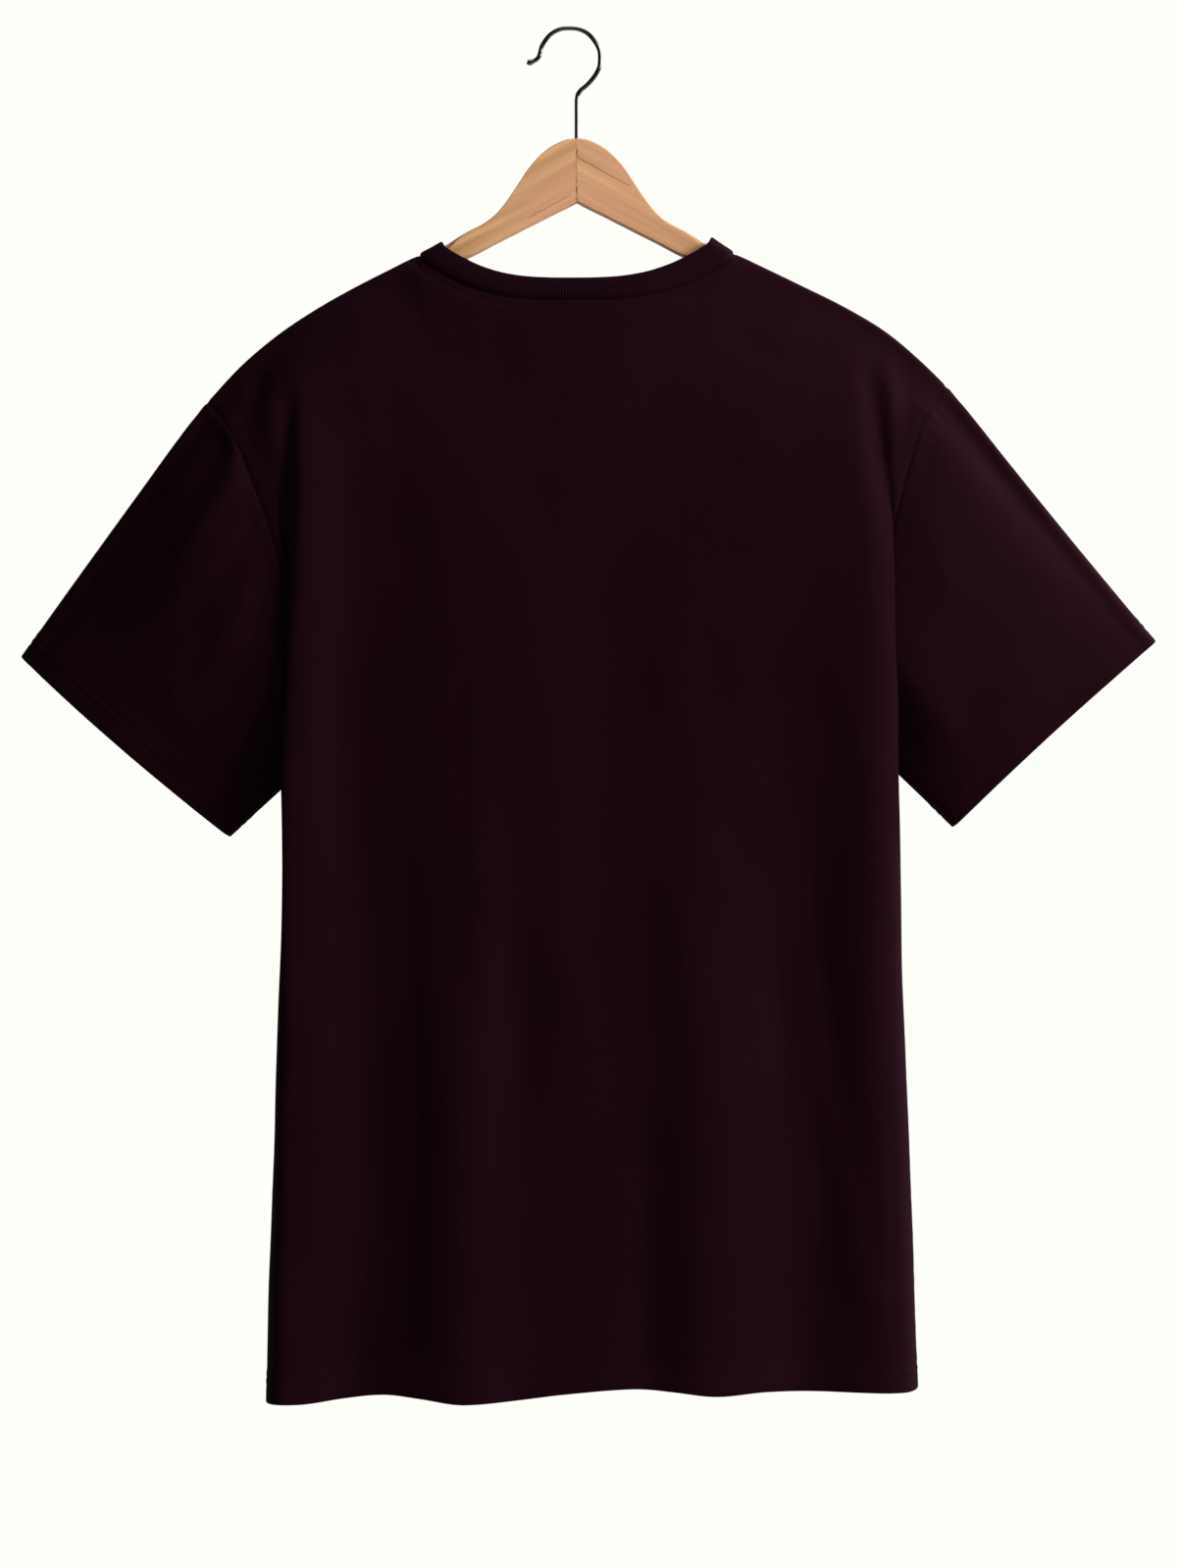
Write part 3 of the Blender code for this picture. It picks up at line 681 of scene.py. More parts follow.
        lift = row["lift"] * bump(abs(column) - self.lift_at[0], self.lift_at[1])
        side_y = side_y + lift * (1 if face is Face.BACK else self.front_lift)
        past = abs(column) > FOLD_COLUMN
        x, y = np.where(past, side_x, x), np.where(past, side_y, y)
        return np.stack([sign * x, face.value * y, z], axis=-1)

    def panel(self, face: Face, column: np.ndarray, rows: np.ndarray) -> np.ndarray:
        """Work out the middle surface of the back or the front.

        Args:
            face: The back or the front.
            column: The columns, from 3 at the left side to -3 at the right one.
            rows: The rows, from 0 at the seams to 32 at the hem.

        Returns:
            A grid of points.
        """
        stations = np.concatenate([[0, 1, 2], self.levels["row"]])
        levels = [self.level_points(face, column, k) for k in range(len(self.levels["row"]))]
        points = np.concatenate([self.top_points(face, column), np.array(levels)])
        grid = self.soften(smooth(rows, stations, points), column, rows)
        inside = step((EDGE_COLUMN - abs(column)) / self.hem_fade)
        reach = self.hem_wave["x"][[0, -1]]
        wave = smooth(np.clip(face.value * grid[..., 0], *reach), *self.hem_wave.values())
        size = 1.0 if face is Face.BACK else self.front_wave
        first, over = self.wave_rows
        grid[..., 2] += size * wave * inside * step((rows - first) / over)[:, None]
        first, over = self.flare_rows
        flare = self.hem_flare * step((rows - first) / over)[:, None]
        grid[..., 1] += face.value * flare * inside
        return grid

    def soften(self, grid: np.ndarray, column: np.ndarray, rows: np.ndarray) -> np.ndarray:
        """Round the lines where the side folds and the collar's corners meet a panel.

        Args:
            grid: The panel's points.
            column: Its columns.
            rows: Its rows.

        Returns:
            The grid, evened near those lines.
        """
        apart = abs(column)
        near = np.max([share * bump(apart - at, wide) for at, wide, share in self.soft_lines], axis=0)
        near[[0, -1]] = 0
        at, wide, over = self.soft_corner
        corner = bump(apart - at, wide) * step(rows / over)[:, None]
        both, corners, depths = self.soft_turns
        for turn in range(corners):
            even = grid.copy()
            even[:, 1:-1] = (grid[:, :-2] + 2 * grid[:, 1:-1] + grid[:, 2:]) / 4
            share = np.maximum(corner, near) if turn < both else corner
            grid = grid + (even - grid) * share[..., None]
        at, wide, first, over = self.soft_wide
        beside = bump(apart - at, wide) * step((rows - first) / over)[:, None]
        for _ in range(depths):
            even = (grid[:, :-2, 1] + 2 * grid[:, 1:-1, 1] + grid[:, 2:, 1]) / 4
            grid[:, 1:-1, 1] += (even - grid[:, 1:-1, 1]) * beside[:, 1:-1]
        return grid

    def sleeve(self, side: Side, ring: np.ndarray, shares: np.ndarray) -> np.ndarray:
        """Work out the middle surface of a sleeve.

        Args:
            side: The sleeve.
            ring: The armhole, down the back and up the front.
            shares: The rings wanted, from 0 at the armhole to 1 at the cuff.

        Returns:
            A grid of points, one row for each ring.
        """
        sizes = self.sleeves[side]
        half = len(ring) // 2
        around = np.concatenate([ring, ring[:1]])
        back, front = lengths(around[: half + 1]), lengths(around[half:])
        down = np.concatenate([back / back[-1], 1 - front[1:-1] / front[-1]])[:, None]
        belly = np.sin(np.pi * down) ** (self.sleeve_full - self.sleeve_low * down**3)
        belly[half + 1 :] *= -1
        top, low = (
            np.array([side.value * sizes[f"{end}_x"], 0.0, sizes[f"{end}_z"]])
            for end in ("top", "low")
        )
        depth = np.array([0.0, 1.0, 0.0])
        cuff = top + (low - top) * down + depth * belly * self.gape
        past = unit(np.cross(low - top, depth) * side.value)
        cuff += past * sizes["bow"] * 4 * down * (1 - down)
        upper, lower = unit(top - ring[0]), unit(low - ring[half])
        square = np.array([-side.value * upper[2], 0.0, side.value * upper[0]])
        along = upper + (lower - upper) * down
        length = np.linalg.norm(cuff - ring, axis=1)[:, None]
        swell = self.swell + self.underarm_swell * down**6
        near = ring + (along + depth * belly * swell) * length / 3
        far = cuff - (along - depth * belly * self.taper) * length / 3
        s = np.asarray(shares)[:, None, None]
        grid = ring * (1 - s) ** 3 + near * 3 * s * (1 - s) ** 2
        grid = grid + far * 3 * s**2 * (1 - s) + cuff * s**3
        return grid + square * sizes["crown"] * 4 * s * (1 - s) * (1 - down) ** 2

    def rib(self, ring: list[tuple[Face, float]], shares: np.ndarray) -> np.ndarray:
        """Work out the middle surface of the neck rib.

        Args:
            ring: The face and the column of each point round the neck.
            shares: The rings wanted, from 0 at the seam to 1 at the free edge.

        Returns:
            A grid of points, one row for each ring.
        """
        columns = np.array([column for _, column in ring])
        back = np.array([face is Face.BACK for face, _ in ring])[:, None]
        seam, edge = (
            np.where(
                back,
                self.neck_points(rib, Face.BACK, columns),
                self.neck_points(rib, Face.FRONT, columns),
            )
            for rib in (False, True)
        )
        s = np.asarray(shares)[:, None, None]
        grid = seam + (edge - seam) * s
        out = np.where(back[:, 0], 1, -1) * np.minimum(1, (1 - abs(columns)) / self.rib_even)
        grid[..., 1] += out * self.rib_bulge * 4 * s[..., 0] * (1 - s[..., 0])
        return grid


def crease_height(x: np.ndarray, z: np.ndarray, creases: Columns) -> np.ndarray:
    """Measure soft ridges and troughs that run along short curves.

    Args:
        x: Places across.
        z: Heights.
        creases: A row for each: three points that it runs through, how far it stands
            out, and its width to the left and to the right of its run.

    Returns:
        How far they stand out at each place.
    """
    total = np.zeros(x.shape)
    t = np.linspace(0, 1, CREASE_POINTS)[:, None]
    for c in each(creases):
        ends = np.array([[c["x1"], c["z1"]], [c["x3"], c["z3"]]])
        middle = 2 * np.array([c["x2"], c["z2"]]) - ends.mean(axis=0)
        line = (1 - t) ** 2 * ends[0] + 2 * t * (1 - t) * middle + t * t * ends[1]
        reach = CREASE_REACH * max(c["left"], c["right"])
        low, high = line.min(axis=0) - reach, line.max(axis=0) + reach
        near = (x > low[0]) & (x < high[0]) & (z > low[1]) & (z < high[1])
        if not near.any():
            continue
        spots = np.stack([x[near], z[near]], axis=-1)[:, None]
        run = line[1:] - line[:-1]
        share = ((spots - line[:-1]) * run).sum(-1) / (run**2).sum(-1)
        share = np.clip(share, 0, 1)
        apart = spots - (line[:-1] + run * share[..., None])
        gap = np.linalg.norm(apart, axis=-1)
        pick = gap.argmin(axis=1)
        at = np.arange(len(pick))
        side = run[pick, 0] * apart[at, pick, 1] - run[pick, 1] * apart[at, pick, 0]
        width = np.where(side > 0, c["left"], c["right"])
        along = (pick + share[at, pick]) / len(run)
        ends_fade = step(along / CREASE_FADE) * step((1 - along) / CREASE_FADE)
        total[near] += c["out"] * ends_fade * np.exp(-((gap[at, pick] / width) ** 2))
    return total


@dataclass
class Creases:
    """The small folds of each piece, seen from outside it, and its uneven lie."""

    back: Columns = held(BACK_CREASES)
    back_sides: Columns = held(BACK_SIDE_CREASES)
    front: Columns = held(FRONT_CREASES)
    sleeve_backs: dict[Side, Columns] = held(SLEEVE_CREASES)
    sleeve_fronts: Columns = held(SLEEVE_FRONT_CREASES)
    right_shift: float = 9.0
    seed: int = 11

    def sleeve(self, side: Side, face: Face) -> Columns:
        """Choose the small folds of a sleeve.

        Args:
            side: The sleeve.
            face: Its back or its front.

        Returns:
            The table of folds.
        """
        if face is Face.BACK:
            return self.sleeve_backs[side]
        rows = self.sleeve_fronts
        if side is Side.LEFT:
            return rows
        placed = {name: -(rows[name] + self.right_shift) for name in ("x1", "x2", "x3")}
        return {**rows, **placed, "left": rows["right"], "right": rows["left"]}

    def lie(self, x: np.ndarray, z: np.ndarray, salt: int) -> np.ndarray:
        """Roughen cloth gently, as it never hangs quite even.

        Args:
            x: Places across.
            z: Heights.
            salt: A number of the piece's own.

        Returns:
            How far it stands out.
        """
        rng = np.random.default_rng(self.seed + salt)
        total = np.zeros(x.shape)
        for _ in range(16):
            wave = rng.uniform(34, 110)
            turn = rng.normal(0, 0.34)
            phase = rng.uniform(0, 2 * math.pi)
            high = rng.uniform(0.05, 0.13) * wave / 70
            drift = 9 * np.sin(z / rng.uniform(90, 160) + rng.uniform(0, 6))
            place = (x + drift) * math.cos(turn) + z * math.sin(turn)
            total += high * np.sin(2 * math.pi * place / wave + phase)
        return total


class Cloth:
    """One piece of cloth: a grid on its middle surface, and the wall around it."""

    def __init__(self, name: str, grid: np.ndarray, closed: bool, outward: np.ndarray) -> None:
        """Set up the piece.

        Args:
            name: The piece's name.
            grid: Its points, one row after another from the seam to the free edge.
            closed: Whether each row is a ring.
            outward: A direction for each point, roughly out of the shirt.
        """
        self.name = name
        self.closed = closed
        self.grid = grid
        self.normals = self.face_out(grid, outward)
        wide = np.concatenate([grid, grid[:, :1]], axis=1) if closed else grid
        self.across = lengths(wide, 1)
        self.down = lengths(grid, 0)
        self.up = self.down[-1] - self.down
        self.height = np.zeros(grid.shape[:2])
        self.outer = np.zeros_like(grid)

    def face_out(self, grid: np.ndarray, outward: np.ndarray) -> np.ndarray:
        """Work out the unit normals, pointing out of the shirt.

        Args:
            grid: The piece's points.
            outward: A direction for each point, roughly out of the shirt.

        Returns:
            One normal for each point.
        """
        down = np.gradient(grid, axis=0)
        if self.closed:
            across = np.roll(grid, -1, axis=1) - np.roll(grid, 1, axis=1)
        else:
            across = np.gradient(grid, axis=1)
        normals = unit(np.cross(down, across))
        return normals * np.sign((normals * outward).sum())

    def seam_distance(self) -> np.ndarray:
        """How far each point is from the piece's seams."""
        if self.closed:
            return self.down
        side = np.minimum(self.across, self.across[:, -1:] - self.across)
        return np.minimum(side, self.down)

    def area(self) -> float:
        """Measure the middle surface.

        Returns:
            Its area in square metres.
        """
        shape = self.grid + self.normals * self.height[..., None]
        if self.closed:
            shape = np.concatenate([shape, shape[:, :1]], axis=1)
        a, b = shape[1:, 1:] - shape[:-1, :-1], shape[1:, :-1] - shape[:-1, 1:]
        return float(np.linalg.norm(np.cross(a, b), axis=-1).sum() / 2 * MM * MM)

    def build(
        self, out: np.ndarray, into: np.ndarray, finish: bpy.types.Material
    ) -> bpy.types.Object:
        """Write the closed wall.

        Args:
            out: How far its outside lies from the middle surface, at each point.
            into: How far its inside does.
            finish: The material.

        Returns:
            The object.
        """
        shape = self.grid + self.normals * self.height[..., None]
        self.outer = shape + self.normals * out[..., None]
        inner = shape - self.normals * into[..., None]
        tip = unit(shape[-1] - shape[-3])
        half, middle = (self.outer[-1] - inner[-1]) / 2, (self.outer[-1] + inner[-1]) / 2
        size = np.linalg.norm(half, axis=-1, keepdims=True)
        edge = [middle + half * math.cos(a) + tip * size * math.sin(a) for a in EDGE_TURNS]
        loop = np.concatenate([self.outer, edge, inner[::-1]])
        last = len(self.grid) - 1
        rows = np.arange(last + 1)
        source = np.concatenate([rows, [last] * len(edge), rows[::-1]])
        count, wide = loop.shape[:2]
        corners, faces = grid_faces(count, wide, count, wide if self.closed else wide - 1)
        uv = [
            np.stack([self.across[source[a], b], -self.down[source[a], b % wide]], axis=-1)
            for a, b in corners
        ]
        uvs = np.stack(uv, axis=-2).reshape(-1, 2)
        caps: list[list[int]] = []
        ends = () if self.closed else ((0, -1), (wide - 1, 1))
        strips = [[i, i + 1, count - 2 - i, count - 1 - i] for i in range(last)]
        for col, way in ends:
            for strip in (*strips, list(range(last, count - last))):
                caps.append([q * wide + col for q in strip[::way]])
        inside = self.signed_volume(loop.reshape(-1, 3), faces)
        made = write_mesh(self.name, loop.reshape(-1, 3), faces, caps, uvs, inside < 0)
        made.data.materials.append(finish)
        return made

    @staticmethod
    def signed_volume(points: np.ndarray, faces: np.ndarray) -> float:
        """The volume in four-sided faces, less than 0 where they face in."""
        a, b, c, d = (points[faces[:, i]] - points.mean(axis=0) for i in range(4))
        whole = (a * np.cross(b, c)).sum() + (a * np.cross(c, d)).sum()
        return float(whole / 6)

    def line_at(self, up: float, low: bool = True) -> tuple[np.ndarray, np.ndarray]:
        """Find a line on the outside, level with an edge.

        Args:
            up: How far it lies from the edge.
            low: Whether that is the free edge, and not the seam.

        Returns:
            Its points and their normals.
        """
        gaps = self.up if low else self.down
        order = slice(None, None, -1 if low else 1)
        columns = range(self.grid.shape[1])
        points, normals = (
            np.array([between(up, gaps[order, j], grid[order, j]) for j in columns])
            for grid in (self.outer, self.normals)
        )
        return points, unit(normals)


def write_mesh(
    name: str,
    points: np.ndarray,
    quads: np.ndarray,
    caps: list[list[int]] | None = None,
    uvs: np.ndarray | None = None,
    turned: bool = False,
    sharp: float = 50.0,
) -> bpy.types.Object:
    """Write a mesh object that rides on the frame.

    Args:
        name: The object's name.
        points: Its points in millimetres about the hanger's middle.
        quads: Its four-sided faces.
        caps: Faces of other sizes.
        uvs: A place on the cloth, in millimetres, for each corner of the quads.
        turned: Whether the faces have to be turned over.
        sharp: The least angle, in degrees, that stays a sharp edge.

    Returns:
        The object.
    """
    faces = quads.tolist() + (caps or [])
    if turned:
        faces = [face[::-1] for face in faces]
    mesh = bpy.data.meshes.new(name)
    mesh.from_pydata(((points + [HANGER_X, 0, 0]) * MM).tolist(), [], faces)
    if uvs is not None:
        flat = np.zeros((len(mesh.loops), 2))
        placed = uvs.reshape(-1, 4, 2)
        flat[: len(uvs)] = (placed[:, ::-1] if turned else placed).reshape(-1, 2) * MM
        mesh.uv_layers.new(name="cloth").data.foreach_set("uv", flat.ravel())
    mesh.update()
    mesh.shade_smooth()
    mesh.set_sharp_from_angle(angle=math.radians(sharp))
    made = bpy.data.objects.new(name, mesh)
    bpy.context.scene.collection.objects.link(made)
    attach(made, "root")
    LOG.info("%s: %d points, %d faces", name, len(points), len(faces))
    return made


@dataclass
class StitchRow:
    """Single stitches laid end to end along a line on the cloth."""

    length: float = 2.7
    gap: float = 0.7
    radius: float = 0.27
    sunk: float = 0.12
    rings: tuple[tuple[float, float], ...] = (
        (-0.5, 0.35),
        (-0.4, 0.85),
        (0.0, 1.0),
        (0.4, 0.85),
        (0.5, 0.35),
    )
    sides: int = 6

    def place(self, line: np.ndarray, normals: np.ndarray, closed: bool) -> np.ndarray:
        """Lay the stitches of a row.

        Args:
            line: The line's points.
            normals: The cloth's normals there.
            closed: Whether the line is a ring.

        Returns:
            Their points, ring by ring.
        """
        if closed:
            line, normals = (np.concatenate([a, a[:1]]) for a in (line, normals))
        along = lengths(line)
        count = max(2, round(along[-1] / (self.length + self.gap)))
        pitch = along[-1] / count
        share, thick = np.array(self.rings).T
        at = ((np.arange(count) + 0.5) * pitch)[:, None] + share * (pitch - self.gap)
        centre = between(at, along, line)
        up = unit(between(at, along, normals))
        across = unit(np.cross(up, unit(centre[:, -1:] - centre[:, :1])))
        dip = self.sunk + 0.5 * (abs(share) * 2) ** 4 * self.radius
        centre = centre - up * dip[None, :, None]
        turn = 2 * math.pi * np.arange(self.sides)[:, None] / self.sides
        ring = across[:, :, None] * np.cos(turn) + up[:, :, None] * np.sin(turn)
        return centre[:, :, None] + ring * (thick * self.radius)[None, :, None, None]

    def sew(
        self,
        name: str,
        lines: list[tuple[np.ndarray, np.ndarray]],
        closed: bool,
        finish: bpy.types.Material,
    ) -> bpy.types.Object:
        """Sew one or more rows as one piece.

        Args:
            name: The piece's name.
            lines: The rows' points and normals.
            closed: Whether they are rings.
            finish: The thread's material.

        Returns:
            The object.
        """
        points = np.concatenate([self.place(*line, closed) for line in lines])
        faces, ends = tube_faces(len(self.rings), self.sides)
        starts = np.arange(len(points)) * len(self.rings) * self.sides
        faces = (faces + starts[:, None, None]).reshape(-1, 4)
        caps = [[start + q for q in end] for start in starts.tolist() for end in ends]
        made = write_mesh(name, points.reshape(-1, 3), faces, caps)
        made.data.materials.append(finish)
        return made


class Nodes:
    """A short way to place and join shader nodes."""

    def __init__(self, tree: bpy.types.NodeTree) -> None:
        """Start on a node tree."""
        self.tree = tree

    def add(self, kind: str, **settings: object) -> bpy.types.Node:
        """Place one node.

        Args:
            kind: The node's type.
            settings: Its own properties.

        Returns:
            The node.
        """
        node = self.tree.nodes.new(kind)
        for name, value in settings.items():
            setattr(node, name, value)
        return node

    def put(self, socket: bpy.types.NodeSocket, value: object) -> None:
        """Join a socket to another, or set its value.

        Args:
            socket: The input.
            value: The output to join it to, or a plain value.
        """
        if isinstance(value, bpy.types.NodeSocket):
            self.tree.links.new(value, socket)
        elif value is not None:
            socket.default_value = value

    def fill(self, node: bpy.types.Node, values: dict[str, object]) -> None:
        """Join or set the inputs of a node, by name."""
        for name, value in values.items():
            self.put(node.inputs[name], value)

    def math(self, operation: str, a: object, b: object = None, c: object = None) -> object:
        """Work out one sum.

        Args:
            operation: The kind of sum.
            a: The first value.
            b: The second value, where there is one.
            c: The third value, where there is one.

        Returns:
            The output socket.
        """
        node = self.add("ShaderNodeMath", operation=operation)
        for socket, value in zip(node.inputs, (a, b, c)):
            self.put(socket, value)
        return node.outputs[0]

    def noise(self, vector: object, scale: object, detail: float = 2.0, rough: float = 0.5) -> object:
        """Place a noise.

        Args:
            vector: Where to read it.
            scale: How fine it is, per metre.
            detail: How many finer layers it has.
            rough: How strong they are.

        Returns:
            The output socket, from 0 to 1.
        """
        node = self.add("ShaderNodeTexNoise")
        values = {"Vector": vector, "Scale": scale, "Detail": detail, "Roughness": rough}
        self.fill(node, values)
        return node.outputs["Fac"]

    def scaled(self, vector: object, scale: tuple[float, float, float]) -> object:
        """Stretch a vector along its axes."""
        node = self.add("ShaderNodeVectorMath", operation="MULTIPLY")
        self.put(node.inputs[0], vector)
        self.put(node.inputs[1], scale)
        return node.outputs[0]

    def spread(self, value: object, low: float, high: float) -> object:
        """Bring a value between two limits to 0 to 1, held beyond them."""
        node = self.add("ShaderNodeMapRange", interpolation_type="SMOOTHSTEP")
        self.fill(node, {"Value": value, "From Min": low, "From Max": high})
        return node.outputs["Result"]

    def mix(self, share: object, a: object, b: object) -> object:
        """Mix two colours.

        Args:
            share: The second one's share.
            a: The first colour.
            b: The second colour.

        Returns:
            The output socket.
        """
        node = self.add("ShaderNodeMix", data_type="RGBA")
        self.put(node.inputs["Factor"], share)
        self.put(node.inputs[6], a)
        self.put(node.inputs[7], b)
        return node.outputs[2]

    def parts(self, vector: object) -> list[bpy.types.NodeSocket]:
        """The three values of a vector."""
        node = self.add("ShaderNodeSeparateXYZ")
        self.put(node.inputs[0], vector)
        return list(node.outputs)

    def group(self, tree: bpy.types.NodeTree, **values: object) -> bpy.types.Node:
        """Place a node group.

        Args:
            tree: The group.
            values: The values of its inputs, by name.

        Returns:
            The node.
        """
        node = self.add("ShaderNodeGroup", node_tree=tree)
        self.fill(node, values)
        return node

    def raised(
        self, height: object, distance: float, strength: float, over: object = None
    ) -> object:
        """Turn a height into a normal.

        Args:
            height: The height, from 0 to 1.
            distance: What 1 stands for, in metres.
            strength: How strongly it shows.
            over: The normal that it lies over, if not the surface's own.

        Returns:
            The normal's socket.
        """
        node = self.add("ShaderNodeBump")
        values = {"Strength": strength, "Distance": distance, "Height": height, "Normal": over}
        self.fill(node, values)
        return node.outputs["Normal"]


def new_group(
    name: str, inputs: dict[str, object], outputs: str
) -> tuple[bpy.types.NodeTree, Nodes, dict[str, object], bpy.types.Node]:
    """Start a shader node group.

    Args:
        name: The group's name.
        inputs: Each input's start value: a number, or None for a vector.
        outputs: The outputs' names, with spaces between them. Each is a number.

    Returns:
        The tree, a way to place its nodes, its inputs by name and its output node.
    """
    tree = bpy.data.node_groups.new(name, "ShaderNodeTree")
    for key, value in inputs.items():
        kind = "NodeSocketVector" if value is None else "NodeSocketFloat"
        socket = tree.interface.new_socket(key, in_out="INPUT", socket_type=kind)
        if value is not None:
            socket.default_value = value
    for key in outputs.split():
        tree.interface.new_socket(key, in_out="OUTPUT", socket_type="NodeSocketFloat")
    n = Nodes(tree)
    start, end = n.add("NodeGroupInput"), n.add("NodeGroupOutput")
    return tree, n, {key: start.outputs[key] for key in inputs}, end


def knit_group() -> bpy.types.NodeTree:
    """Build the loops of a plain knit: columns of small V shapes.

    Returns:
        The group, with a height and a mask of the pits between the loops, where shade is painted.
    """
    sizes = {"Vector": None, "Wale": 0.00072, "Course": 0.00058}
    tree, n, given, end = new_group("knit_loops", sizes, "Height Pit")
    x, y, _ = n.parts(given["Vector"])
    wales = n.math("DIVIDE", x, given["Wale"])
    courses = n.math("DIVIDE", y, given["Course"])
    off = n.math("ABSOLUTE", n.math("SUBTRACT", n.math("FRACT", wales), 0.5))
    lean = n.math("MULTIPLY_ADD", off, 1.7, courses)
    loop = n.math("MULTIPLY_ADD", n.math("SINE", n.math("MULTIPLY", lean, 6.2832)), 0.5, 0.5)
    leg = n.math("SUBTRACT", 1.0, n.math("ABSOLUTE", n.math("MULTIPLY_ADD", off, 4.0, -1.0)))
    height = n.math("MULTIPLY", n.math("POWER", leg, 0.6), n.math("MULTIPLY_ADD", loop, 0.6, 0.4))
    pit = n.math("SUBTRACT", 1.0, n.spread(height, 0.1, 0.5))
    n.fill(end, {"Height": height, "Pit": pit})
    return tree


def lie_group() -> bpy.types.NodeTree:
    """Build the uneven lie of soft jersey: patches of small wrinkles, and loose fibre.

    Returns:
        The group, with a height, a patchy tone and a fine fuzz.
    """
    sizes = {"Vector": None, "Fine": 1.0}
    tree, n, given, end = new_group("jersey_lie", sizes, "Height Tone Fuzz")
    place = given["Vector"]
    patch = n.spread(n.noise(n.scaled(place, (1, 1, 0.45)), 14.0), 0.48, 0.72)
    worms = n.noise(n.scaled(place, (1, 1, 0.6)), 115.0, 2.5)
    ridge = n.spread(n.math("ABSOLUTE", n.math("SUBTRACT", worms, 0.5)), 0.0, 0.12)
    height = n.math("MULTIPLY", n.math("SUBTRACT", 1.0, ridge), patch)
    tone = n.noise(n.scaled(place, (1, 1, 0.6)), 26.0, 4.0, 0.6)
    fuzz = n.noise(place, n.math("MULTIPLY", given["Fine"], 1400.0))
    n.fill(end, {"Height": height, "Tone": tone, "Fuzz": fuzz})
    return tree


def grain_group() -> bpy.types.NodeTree:
    """Build plain wood: long figure, fine fibre and short pores along the first axis.

    Returns:
        The group, with the figure's share, the fibre and the pores.
    """
    sizes = {"Vector": None, "Bands": 190.0, "Drift": 0.5}
    tree, n, given, end = new_group("wood_grain", sizes, "Figure Fibre Pore")
    place = given["Vector"]
    along, across, deep = n.parts(place)
    drift = n.noise(n.scaled(place, (7, 22, 22)), 1.0)
    bent = n.math("MULTIPLY_ADD", drift, n.math("MULTIPLY", given["Drift"], 0.02), across)
    joined = n.add("ShaderNodeCombineXYZ")
    long, thin = n.math("MULTIPLY", along, 0.035), n.math("MULTIPLY", deep, 0.6)
    n.fill(joined, {"X": long, "Y": bent, "Z": thin})
    figure = n.spread(n.noise(joined.outputs[0], given["Bands"], 3.0), 0.3, 0.7)
    fibre = n.noise(n.scaled(place, (60, 2600, 2600)), 1.0, 3.0, 0.6)
    pores = n.noise(n.scaled(place, (260, 3400, 3400)), 1.0, 1.0, 0.4)
    n.fill(end, {"Figure": figure, "Fibre": fibre, "Pore": n.spread(pores, 0.66, 0.76)})
    return tree


def line_group() -> bpy.types.NodeTree:
    """Build one thin dark line that runs with the grain.

    Returns:
        The group, with a mask of the line.
    """
    sizes = {"Across": 0.0, "Start": 0.0, "End": 0.05, "Lean": 0.0, "Width": 0.0004}
    tree, n, given, end = new_group("grain_line", {"Vector": None, **sizes}, "Mask")
    place = given["Vector"]
    along, across, _ = n.parts(place)
    wander = n.noise(n.scaled(place, (70, 0, 0)), 1.0)
    wander = n.math("MULTIPLY_ADD", wander, 0.0024, -0.0012)
    straight = n.math("MULTIPLY_ADD", along, given["Lean"], given["Across"])
    off = n.math("ABSOLUTE", n.math("SUBTRACT", across, n.math("ADD", straight, wander)))
    line = n.math("SUBTRACT", 1.0, n.math("DIVIDE", off, given["Width"]))
    begun = n.math("MULTIPLY", n.math("SUBTRACT", along, given["Start"]), 400.0)
    ended = n.math("MULTIPLY", n.math("SUBTRACT", given["End"], along), 400.0)
    shown = n.math("MINIMUM", n.math("MINIMUM", begun, ended), line)
    n.fill(end, {"Mask": n.spread(shown, 0.0, 0.6)})
    return tree


class Groups:
    """The node groups that the finishes share."""

    def __init__(self) -> None:
        """Build each of them once."""
        self.knit = knit_group()
        self.lie = lie_group()
        self.grain = grain_group()
        self.line = line_group()


def new_material(name: str) -> tuple[bpy.types.Material, Nodes, bpy.types.Node]:
    """Start a material.

    Args:
        name: Its name.

    Returns:
        The material, a way to place its nodes, and its shader.
    """
    made = bpy.data.materials.new(name)
    made.use_nodes = True
    return made, Nodes(made.node_tree), made.node_tree.nodes["Principled BSDF"]


